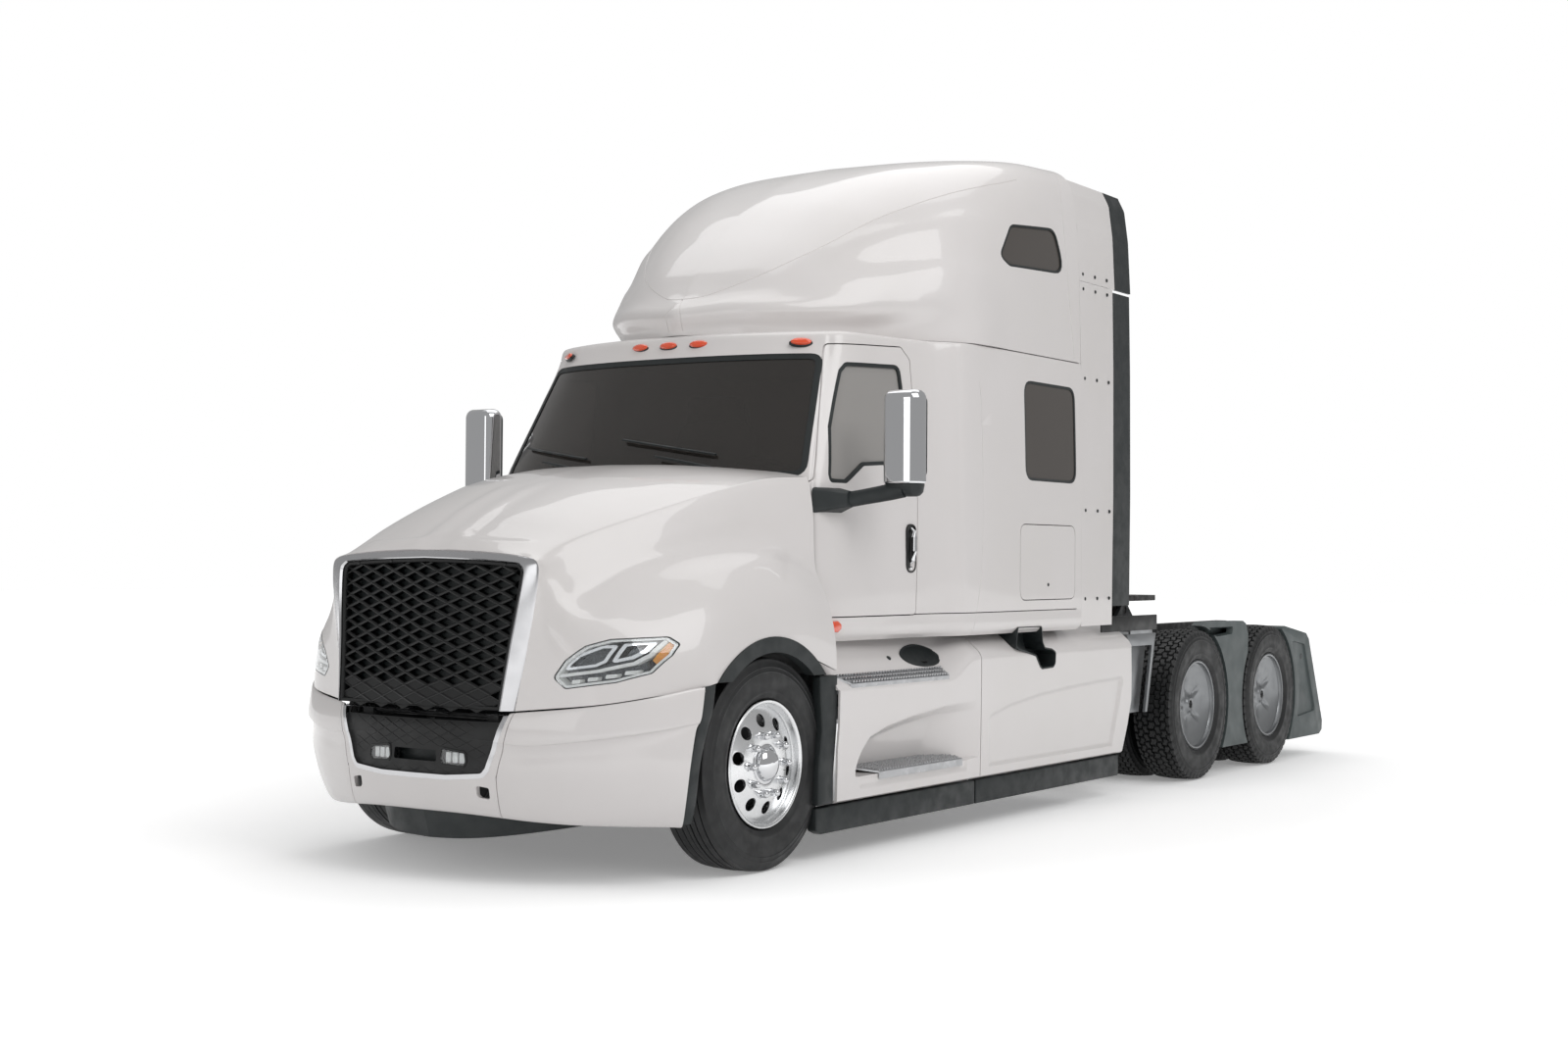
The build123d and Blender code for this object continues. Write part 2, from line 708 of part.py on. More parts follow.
tyre_half = [
    (bead_radius, bead_half_width - seat_gap),
    (bead_radius + flange_height, bead_half_width - seat_gap),
    (395, tyre_width / 2),
    (455, tyre_width / 2 - 4),
    (492, tyre_width / 2 - 22),
    (tyre_radius, tyre_width / 2 - 42),
]
tyre_profile = tyre_half + [(radius, -y) for radius, y in reversed(tyre_half)]
rim_outer = bead_radius - seat_gap
rim_edge = bead_half_width + flange_thickness
rim_profile = [
    (bead_radius + flange_height - 1, rim_edge),
    (bead_radius + flange_height - 1, bead_half_width),
    (rim_outer, bead_half_width),
    (rim_outer, -bead_half_width),
    (bead_radius + flange_height - 1, -bead_half_width),
    (bead_radius + flange_height - 1, -rim_edge),
    (rim_outer - rim_wall, -rim_edge),
    (rim_outer - rim_wall, rim_edge),
]
barrel = rim_outer - rim_wall + 2
steer_disc_profile = [
    (barrel, 50), (235, 88), (205, 104), (112, 104), (105, 128), (78, 130), (72, 176), (0, 182),
    (0, 160), (spindle_radius + bearing_gap, 160), (spindle_radius + bearing_gap, -10),
    (205, -10), (205, -70), (218, -70), (218, 0), (110, 30), (110, 90), (200, 90), (228, 74),
    (barrel, 34),
]
drive_disc_profile = [
    (barrel, -92), (240, -128), (205, -155), (120, -155), (112, -20), (96, 60), (40, 66),
    (0, 66), (0, 40), (axle_tube_radius + bearing_gap, 40), (axle_tube_radius + bearing_gap, -340),
    (105, -340), (105, -300), (205, -300), (205, -400), (218, -400),
    (218, -290), (120, -270), (120, -181), (205, -181), (240, -208), (barrel, -244),
    (barrel, -228), (246, -196), (212, -168), (246, -140), (barrel, -108),
]
hand_holes = 10
hand_hole_circle = 212
hand_hole_radius = 25
for name, side in (("left", 1), ("right", -1)):
    centre_y = side * front_wheel_y
    with BuildPart() as tyre_front:
        wheel_ring(0, centre_y, tyre_profile)
    save(tyre_front, f"tyre_front_{name}")
    with BuildPart() as wheel_front:
        wheel_ring(0, centre_y, rim_profile)
        wheel_ring(0, centre_y, steer_disc_profile)
        with BuildSketch(Plane.XZ.offset(-side * (front_wheel_y + 20))) as holes:
            with Locations((front_axle_x, hub_height)):
                with PolarLocations(hand_hole_circle, hand_holes):
                    Circle(hand_hole_radius)
        extrude(holes.sketch, amount=-side * 150, mode=Mode.SUBTRACT)
    save(wheel_front, f"wheel_front_{name}")

for axle_name, axle_aft in zip(("mid", "rear"), drive_axles_aft):
    for name, side in (("left", 1), ("right", -1)):
        with BuildPart() as tyres_drive:
            for pair_y in (inner_wheel_y, outer_wheel_y):
                wheel_ring(axle_aft, side * pair_y, tyre_profile)
        save(tyres_drive, f"tyres_{axle_name}_{name}")
        with BuildPart() as wheels_drive:
            for pair_y in (inner_wheel_y, outer_wheel_y):
                wheel_ring(axle_aft, side * pair_y, rim_profile)
            wheel_ring(axle_aft, side * outer_wheel_y, drive_disc_profile)
        save(wheels_drive, f"wheels_{axle_name}_{name}")

# ---------------------------------------------------------------- front axle and steering
knuckle_lug_radius = 46
axle_eye_half = 84
arm_aft = 200
arm_height = 385
tie_pin_radius = 11
tie_rod_height = 345
with BuildPart() as front_axle:
    front_prism([
        (840, hub_height + 55), (840, hub_height - 55), (600, 372), (-600, 372),
        (-840, hub_height - 55), (-840, hub_height + 55), (-600, 455), (600, 455),
    ], (-45, 45))
    for side in (1, -1):
        eye_y = side * kingpin_y
        rod((front_axle_x, eye_y, hub_height - axle_eye_half),
            (front_axle_x, eye_y, hub_height + axle_eye_half), knuckle_lug_radius)
        rod((front_axle_x, eye_y, 0), (front_axle_x, eye_y, 900), kingpin_radius + bearing_gap,
            mode=Mode.SUBTRACT)
save(front_axle, "front_axle")

lug_start = axle_eye_half + 6
lug_end = lug_start + 45
with BuildPart() as knuckle_left:
    rod((front_axle_x, kingpin_y, hub_height - lug_end),
        (front_axle_x, kingpin_y, hub_height + lug_end), kingpin_radius)
    for start, end in ((lug_start, lug_end), (-lug_end, -lug_start)):
        rod((front_axle_x, kingpin_y, hub_height + start),
            (front_axle_x, kingpin_y, hub_height + end), knuckle_lug_radius)
        block((-40, 40), (kingpin_y, kingpin_y + 75), (hub_height + start, hub_height + end))
    block((-55, 55), (kingpin_y + 54, kingpin_y + 78), (hub_height - lug_end, hub_height + lug_end))
    rod((front_axle_x, kingpin_y + 70, hub_height), (front_axle_x, front_wheel_y + 150, hub_height),
        spindle_radius)
    block((0, arm_aft), (kingpin_y - 20, kingpin_y + 20), (arm_height - 15, arm_height + 15))
    rod((aft(arm_aft), kingpin_y, arm_height - 15), (aft(arm_aft), kingpin_y, arm_height + 15), 30)
    rod((aft(arm_aft), kingpin_y, tie_rod_height - 16), (aft(arm_aft), kingpin_y, arm_height),
        tie_pin_radius)
save_pair(knuckle_left, "knuckle")

with BuildPart() as tie_rod:
    rod((aft(arm_aft), -kingpin_y, tie_rod_height), (aft(arm_aft), kingpin_y, tie_rod_height), 15)
    for side in (1, -1):
        eye = (aft(arm_aft), side * kingpin_y)
        rod((*eye, tie_rod_height - 16), (*eye, tie_rod_height + 16), 28)
        rod((*eye, 0), (*eye, 900), tie_pin_radius + bearing_gap, mode=Mode.SUBTRACT)
save(tie_rod, "tie_rod")

# ---------------------------------------------------------------- chassis
outrigger_places = (680, 1945, 3640)
fender_bracket_places = ((wheelbase, 900), (7090, 760))
outrigger_wall = body_half_width - fairing_wall
bumper_beam = (extrude(bumper_plan(bumper_wall + seat_gap, 445), amount=50)
               - extrude(bumper_plan(bumper_wall + 60, 440), amount=60)
               - Pos(aft(-500), 0, 470) * Box(1000, 4000, 200))
cab_mount_places = (820, 3120)
hood_tube_height = 755
hood_arm = places([(-1020, 745), (-1020, 768), (-1112, 785), (-1127, 785), (-1132, 781),
                   (-1132, 775), (-1127, 771), (-1105, 766)])
crossmember_places = (-740, 1400, 1945, 3300, 4400, 5730, 7000, 7490)
horn_inner_y = 360
horn_bottom = 445
with BuildPart() as frame_rails:
    clear_web = rail_web_y + seat_gap
    for side in (1, -1):
        inner_flange = side * (rail_web_y - rail_flange)
        inner_web = side * (rail_web_y - rail_web)
        web = side * rail_web_y
        front_prism([
            (web, rail_bottom), (inner_flange, rail_bottom), (inner_flange, rail_bottom + 10),
            (inner_web, rail_bottom + 10), (inner_web, rail_top - 10), (inner_flange, rail_top - 10),
            (inner_flange, rail_top), (web, rail_top),
        ], (-rail_front, tail_aft))
        for place in outrigger_places:
            block((place - 25, place + 25), sorted((side * clear_web, side * (outrigger_wall - seat_gap))),
                  (740, 800))
        for place, height in fender_bracket_places:
            rod((aft(place), side * clear_web, height),
                (aft(place), side * (fender_y[1] - fender_wall - seat_gap), height), 22)
        for place in cab_mount_places:
            block((place - 60, place + 60), sorted((web, inner_flange)),
                  (rail_top + seat_gap, cab_bottom - seat_gap))
        block((-1020, -700), sorted((web, side * horn_inner_y)), (640, rail_bottom - seat_gap))
        block((-1060, -1000), sorted((web, side * horn_inner_y)), (horn_bottom, hood_tube_height + 15))
        side_prism(hood_arm, sorted((side * hood_eye_y[0], side * hood_eye_y[1])))
        rod((hood_axis[0], side * hood_eye_y[0], hood_axis[1]),
            (hood_axis[0], side * hood_barrel_y[0], hood_axis[1]), hood_pin_radius)
    rod((aft(-1030), -horn_inner_y, hood_tube_height), (aft(-1030), horn_inner_y, hood_tube_height), 14)
    add(bumper_beam)
    member_reach = rail_web_y - rail_web - seat_gap
    for place in crossmember_places:
        block((place - 30, place + 30), (-member_reach, member_reach), (760, 960))
save(frame_rails, "frame_rails")

engine_rear = 380
gearbox_rear = 1250
with BuildPart() as engine_block:
    block((-700, engine_rear), (-310, 310), (540, 1500))
    block((engine_rear, gearbox_rear), (-240, 240), (500, 1000))
    mount_reach = rail_web_y - rail_flange - seat_gap
    block((-300, -180), (-mount_reach, mount_reach), (rail_bottom, 800))
    block((900, 1000), (-mount_reach, mount_reach), (rail_bottom, 800))
save(engine_block, "engine_block")

hood_rests = hood_volume(hood_wall + seat_gap) & Pos(aft(-820), 0, 1450) * Box(30, 700, 500)
with BuildPart() as radiator:
    block((-850, -rail_front - seat_gap), (-430, 430), (rail_bottom + seat_gap, 1400))
    add(hood_rests)
    block((-900, -700), (-310, 310), (1400, 1800), mode=Mode.SUBTRACT)
save(radiator, "radiator")

shaft_height = 560
pinion_reach = 240
with BuildPart() as driveline:
    first_axle, last_axle = drive_axles_aft
    rod((aft(gearbox_rear + seat_gap), 0, shaft_height),
        (aft(first_axle - pinion_reach - seat_gap), 0, shaft_height), 50)
    rod((aft(first_axle + pinion_reach + seat_gap), 0, shaft_height),
        (aft(last_axle - pinion_reach - seat_gap), 0, shaft_height), 50)
save(driveline, "driveline")

axle_reach = outer_wheel_y + 30
with BuildPart() as drive_axles:
    for axle_aft in drive_axles_aft:
        rod((aft(axle_aft), -axle_reach, hub_height), (aft(axle_aft), axle_reach, hub_height),
            axle_tube_radius)
        with Locations((aft(axle_aft), 0, hub_height)):
            Sphere(215)
        rear_reach = pinion_reach if axle_aft == drive_axles_aft[0] else 0
        rod((aft(axle_aft + rear_reach), 0, hub_height + 25),
            (aft(axle_aft - pinion_reach), 0, hub_height + 25), 95)
save(drive_axles, "drive_axles")

rail_seat = rail_bottom - seat_gap
beam_seat = hub_height + axle_tube_radius + seat_gap
with BuildPart() as suspension:
    for side in (1, -1):
        # front leaf springs
        side_prism(places([(-640, rail_seat), (-640, 690), (0, 560), (620, 690), (620, rail_seat),
                           (560, rail_seat), (0, 600), (-580, rail_seat)]), (side * 340, side * 425))
        block((-45, 45), sorted((side * 340, side * 425)), (455 + seat_gap, 575))
        # rear beams and air springs
        for axle_aft in drive_axles_aft:
            block((axle_aft - 450, axle_aft + 330), sorted((side * 350, side * 425)), (beam_seat, 640))
            for place, radius in ((axle_aft + 255, 60), (axle_aft - 420, 30)):
                rod((aft(place), side * 385, 640), (aft(place), side * 385, rail_seat), radius)
save(suspension, "suspension")

# ---------------------------------------------------------------- side fairings, steps and tanks
step_height = 870
shelf_y = 1135
lower_step = (930, 1800)
upper_step = (750, 1650)
fairing_top = 1040
front_fairing = [
    (body_half_width, fairing_foot), (body_half_width, step_height), (shelf_y, step_height + 35),
    (shelf_y - 15, 1075), (shelf_y - 15 - fairing_wall, 1075),
    (shelf_y - fairing_wall, step_height + 5), (body_half_width - fairing_wall, step_height - 30),
    (body_half_width - fairing_wall, fairing_foot),
]
rear_fairing = [
    (body_half_width, fairing_foot), (body_half_width, fairing_top - 40),
    (body_half_width - 45, fairing_top), (body_half_width - 90, fairing_top),
    (body_half_width - 90, fairing_top - fairing_wall),
    (body_half_width - 55, fairing_top - fairing_wall),
    (body_half_width - fairing_wall, fairing_top - 60), (body_half_width - fairing_wall, fairing_foot),
]
with BuildPart() as side_fairings:
    for side in (1, -1):
        front_prism([(side * y, z) for y, z in front_fairing], (fairing_front + 45, fairing_split - 3))
        front_prism([(side * y, z) for y, z in rear_fairing], (fairing_split + 3, fairing_tail + 110))
        # well of the lower step
        well_inner = side * (body_half_width - 215)
        well_outer = side * (body_half_width - 10)
        low, high = lower_step
        block((low - 12, high + 12), sorted((well_inner - side * 12, well_outer)), (378, 720))
        block((low, high), sorted((well_inner, side * 1300)), (390, 708), mode=Mode.SUBTRACT)
    block((fairing_tail - 40, 4200), (-1300, 1300), (0, 700), mode=Mode.SUBTRACT)
save(side_fairings, "side_fairings")

with BuildPart() as step_treads:
    for side in (1, -1):
        low, high = lower_step
        block((low + 2, high - 2), sorted((side * 1010, side * 1212)), (390 + seat_gap, 412))
        low, high = upper_step
        block((low, high), sorted((side * (shelf_y + 12), side * 1205)), (step_height + 31, step_height + 45))
save(step_treads, "step_treads")

tank_radius = 292
tank_y = 860
tank_height = 620
with BuildPart() as fuel_tanks:
    for side in (1, -1):
        rod((aft(2080), side * tank_y, tank_height), (aft(3520), side * tank_y, tank_height),
            tank_radius)
        for place in (2400, 3200):
            block((place - 40, place + 40), sorted((side * (rail_web_y + seat_gap), side * 640)),
                  (560, 900))
save(fuel_tanks, "fuel_tanks")

# ---------------------------------------------------------------- rear deck and fenders
with BuildPart() as deck_plate:
    block((3960, 4760), (-rail_web_y, rail_web_y), (rail_top + seat_gap, rail_top + 18))
save(deck_plate, "deck_plate")

mid_fender = [(5190, 990), (5330, 1060), (6000, 1060), (6060, 1020), (5960, 150), (5560, 150)]
rear_fender = [(6540, 1000), (6620, 1040), (7310, 890), (7530, 170), (6760, 150)]
with BuildPart() as drive_fenders:
    for side in (1, -1):
        for outline in (mid_fender, rear_fender):
            side_prism(places(outline), (side * fender_y[0], side * fender_y[1]), radius=30)
        for outline in (mid_fender, rear_fender):
            middle_aft = sum(distance for distance, _ in outline) / len(outline)
            middle_z = sum(height for _, height in outline) / len(outline)
            shrunk = [
                (distance + (middle_aft - distance) * 0.09, height + (middle_z - height) * 0.07)
                for distance, height in outline
            ]
            side_prism(places(shrunk), (side * (fender_y[0] - 20), side * (fender_y[1] - fender_wall)),
                       mode=Mode.SUBTRACT)
        for axle_aft in drive_axles_aft:
            rod((aft(axle_aft), side * 500, hub_height), (aft(axle_aft), side * 1300, hub_height),
                tyre_radius + 28, mode=Mode.SUBTRACT)
save(drive_fenders, "drive_fenders")

# ---------------------------------------------------------------- fifth wheel
plate_half_width = 457
coupling_pin_radius = 26
plate_thickness = 40
with BuildPart() as fifth_wheel_plate:
    with BuildSketch(Plane.XY.offset(fifth_wheel_height - plate_thickness)) as plate:
        with Locations((aft(fifth_wheel_aft), 0)):
            Circle(plate_half_width)
        with Locations((aft(fifth_wheel_aft + 230), 0)):
            Rectangle(460, 2 * plate_half_width)
        with Locations((aft(fifth_wheel_aft), 0)):
            Circle(trailer_pin_radius, mode=Mode.SUBTRACT)
        with BuildLine():
            Polyline((aft(fifth_wheel_aft + 75), 26), (aft(fifth_wheel_aft + 75), -26),
                     (aft(fifth_wheel_aft + 470), -150), (aft(fifth_wheel_aft + 470), 150), close=True)
        make_face(mode=Mode.SUBTRACT)
    extrude(plate.sketch, amount=plate_thickness)
    for side in (1, -1):
        block((fifth_wheel_aft - 60, fifth_wheel_aft + 60), sorted((side * 330, side * 390)),
              (coupling_pivot_height - 55, fifth_wheel_height - plate_thickness + 5))
        rod((aft(fifth_wheel_aft), side * 300, coupling_pivot_height),
            (aft(fifth_wheel_aft), side * 420, coupling_pivot_height), coupling_pin_radius)
save(fifth_wheel_plate, "fifth_wheel_plate")

with BuildPart() as fifth_wheel_base:
    block((fifth_wheel_aft - 420, fifth_wheel_aft + 420), (-rail_web_y, rail_web_y),
          (rail_top + seat_gap, rail_top + 20))
    for side in (1, -1):
        for low, high in ((290, 322), (398, 425)):
            side_prism(places([(fifth_wheel_aft - 200, rail_top + 15), (fifth_wheel_aft - 50, 1155),
                               (fifth_wheel_aft + 50, 1155), (fifth_wheel_aft + 200, rail_top + 15)]),
                       (side * low, side * high), radius=0)
            rod((aft(fifth_wheel_aft), side * 280, coupling_pivot_height),
                (aft(fifth_wheel_aft), side * 440, coupling_pivot_height),
                coupling_pin_radius + bearing_gap, mode=Mode.SUBTRACT)
save(fifth_wheel_base, "fifth_wheel_base")

# ---------------------------------------------------------------- cab interior
with BuildPart() as dashboard:
    side_prism(places([(580, floor_top + seat_gap), (580, 1830), (700, 1860), (900, 1790), (860, 1500), (700, 1400),
                       (700, floor_top + seat_gap)]), (-880, 880), radius=20)
    wheel_middle = (aft(1020), 480, 1850)
    wheel_axis = Vector(-0.8, 0, 1)
    rod((aft(840), 480, 1650), wheel_middle, 35)
    with BuildSketch(Plane(origin=wheel_middle, z_dir=wheel_axis)) as steering_ring:
        Circle(225)
        Circle(192, mode=Mode.SUBTRACT)
        Rectangle(400, 40)
    extrude(steering_ring.sketch, amount=28)
save(dashboard, "dashboard")

with BuildPart() as seats:
    for side in (1, -1):
        low, high = (side * 480 - 260, side * 480 + 260)
        block((1300, 1700), (low + 40, high - 40), (floor_top + seat_gap, 1520))
        block((1220, 1760), (low, high), (1500, 1640))
        side_prism(places([(1640, 1600), (1780, 1600), (1900, 2330), (1800, 2350)]), (low, high),
                   radius=20)
    block((2350, 3170), (-1100, 1100), (floor_top + seat_gap, 1720))
save(seats, "seats")

def windscreen_aft(y, height):
    """Where the windscreen's outer face stands, behind the front axle."""
    _, low_nose, low_corner, low_y, *_ = cab_rows[1]
    _, high_nose, high_corner, high_y, *_ = cab_rows[2]
    share = (height - belt_height) / (seam_height - belt_height)
    nose = low_nose + share * (high_nose - low_nose)
    corner = low_corner + share * (high_corner - low_corner)
    corner_y = low_y + share * (high_y - low_y)
    return nose + (corner - nose) * (y / corner_y) ** 2


wiper_radius = 12
wiper_places = (
    # start y, start z, end y, end z
    (60, 1985, 800, 2015),
    (-820, 2000, -90, 1990),
)
with BuildPart() as wipers:
    for start_y, start_z, end_y, end_z in wiper_places:
        start = (aft(windscreen_aft(start_y, start_z) - wiper_radius), start_y, start_z)
        end = (aft(windscreen_aft(end_y, end_z) - wiper_radius), end_y, end_z)
        rod(start, end, wiper_radius)
    add(cab_outer, mode=Mode.SUBTRACT)
save(wipers, "wipers")

# ---------------------------------------------------------------- lamps
marker_places = (-780, -196, 0, 196, 780)
marker_height = 2590
with BuildPart() as body_lamps:
    for place in marker_places:
        face_aft = windscreen_aft(place, marker_height)
        block((face_aft - 16, face_aft + 60), (place - 60, place + 60),
              (marker_height - 16, marker_height + 16))
    add(cab_outer, mode=Mode.SUBTRACT)
save(body_lamps, "body_lamps")
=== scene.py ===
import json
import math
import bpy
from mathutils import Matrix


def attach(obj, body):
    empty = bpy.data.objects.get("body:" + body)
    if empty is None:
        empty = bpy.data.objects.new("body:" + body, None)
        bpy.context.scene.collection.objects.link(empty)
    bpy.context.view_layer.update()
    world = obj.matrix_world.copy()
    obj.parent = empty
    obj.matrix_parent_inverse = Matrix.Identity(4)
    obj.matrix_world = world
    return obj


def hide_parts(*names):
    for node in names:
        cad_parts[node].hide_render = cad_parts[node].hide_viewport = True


bl_info = {
    "name": "Road tractor",
    "version": (1, 0, 0),
    "blender": (4, 5, 0),
    "location": "View3D > Sidebar > Tractor",
    "description": "Dresses the packed road tractor with its finished surfaces",
    "category": "Object",
}

import bmesh
import bpy
import numpy as np
from bpy.props import FloatProperty, FloatVectorProperty, IntProperty, PointerProperty
from mathutils import Matrix, Vector

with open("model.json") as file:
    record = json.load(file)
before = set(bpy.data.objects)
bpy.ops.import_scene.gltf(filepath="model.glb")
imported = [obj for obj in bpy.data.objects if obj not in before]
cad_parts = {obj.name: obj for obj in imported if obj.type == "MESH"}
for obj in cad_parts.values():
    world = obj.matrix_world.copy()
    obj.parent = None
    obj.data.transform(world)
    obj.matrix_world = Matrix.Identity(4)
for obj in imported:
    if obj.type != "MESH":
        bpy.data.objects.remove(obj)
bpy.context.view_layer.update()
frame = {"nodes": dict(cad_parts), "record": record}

FRONT_AXLE = 3.180      # x of the front axle
HUB = 0.507             # height of the axles
SIDES = (("left", 1), ("right", -1))
AXLES = (("mid", -1.890), ("rear", -3.210))


# ------------------------------------------------------------------ colours and materials
def linear(hex_colour):
    """An sRGB hex value as a linear colour."""
    channels = [int(hex_colour[i:i + 2], 16) / 255 for i in (1, 3, 5)]
    return [c / 12.92 if c <= 0.04045 else ((c + 0.055) / 1.055) ** 2.4 for c in channels] + [1.0]


def add_node(tree, kind, settings=None, values=None, links=None):
    """Add a node, set its options and sockets, and link sockets from (node, output) pairs."""
    node = tree.nodes.new(kind)
    for name, value in (settings or {}).items():
        setattr(node, name, value)
    for name, value in (values or {}).items():
        node.inputs[name].default_value = value
    for name, (source, output) in (links or {}).items():
        tree.links.new(source.outputs[output], node.inputs[name])
    return node


def ramp(tree, source, stops, output=0):
    """A colour ramp with (place, hex colour) stops."""
    node = add_node(tree, "ShaderNodeValToRGB", links={"Fac": (source, output)})
    elements = node.color_ramp.elements
    while len(elements) < len(stops):
        elements.new(0.5)
    for element, (place, colour) in zip(elements, stops):
        element.position = place
        element.color = linear(colour)
    return node


def surface_material(name, colour, values, grain=None, tint=None, wear=None):
    """A principled material.

    grain is (size in mm, height in mm, detail) of its surface relief, tint is (size in mm,
    second colour) of its slow colour change, and wear is (size in mm, low, high) of its roughness.
    """
    material = bpy.data.materials.new(name)
    material.use_nodes = True
    tree = material.node_tree
    shader = tree.nodes["Principled BSDF"]
    shader.inputs["Base Color"].default_value = linear(colour)
    for key, value in values.items():
        shader.inputs[key].default_value = value
    where = add_node(tree, "ShaderNodeTexCoord")
    if grain:
        size, height, detail = grain
        noise = add_node(tree, "ShaderNodeTexNoise", values={"Scale": 1000 / size, "Detail": detail},
                         links={"Vector": (where, "Object")})
        bump = add_node(tree, "ShaderNodeBump", values={"Distance": height / 1000, "Strength": 1.0},
                        links={"Height": (noise, "Fac")})
        tree.links.new(bump.outputs["Normal"], shader.inputs["Normal"])
    if tint:
        size, second = tint
        cloud = add_node(tree, "ShaderNodeTexNoise", values={"Scale": 1000 / size, "Detail": 3.0},
                         links={"Vector": (where, "Object")})
        shades = ramp(tree, cloud, ((0.35, colour), (0.7, second)))
        tree.links.new(shades.outputs["Color"], shader.inputs["Base Color"])
    if wear:
        size, low, high = wear
        cloud = add_node(tree, "ShaderNodeTexNoise", values={"Scale": 1000 / size, "Detail": 4.0},
                         links={"Vector": (where, "Object")})
        spread = add_node(tree, "ShaderNodeMapRange",
                          values={"From Min": 0.35, "From Max": 0.65, "To Min": low, "To Max": high},
                          links={"Value": (cloud, "Fac")})
        tree.links.new(spread.outputs["Result"], shader.inputs["Roughness"])
    return material


WHITE = "#E4E0DF"
MATERIALS = {}


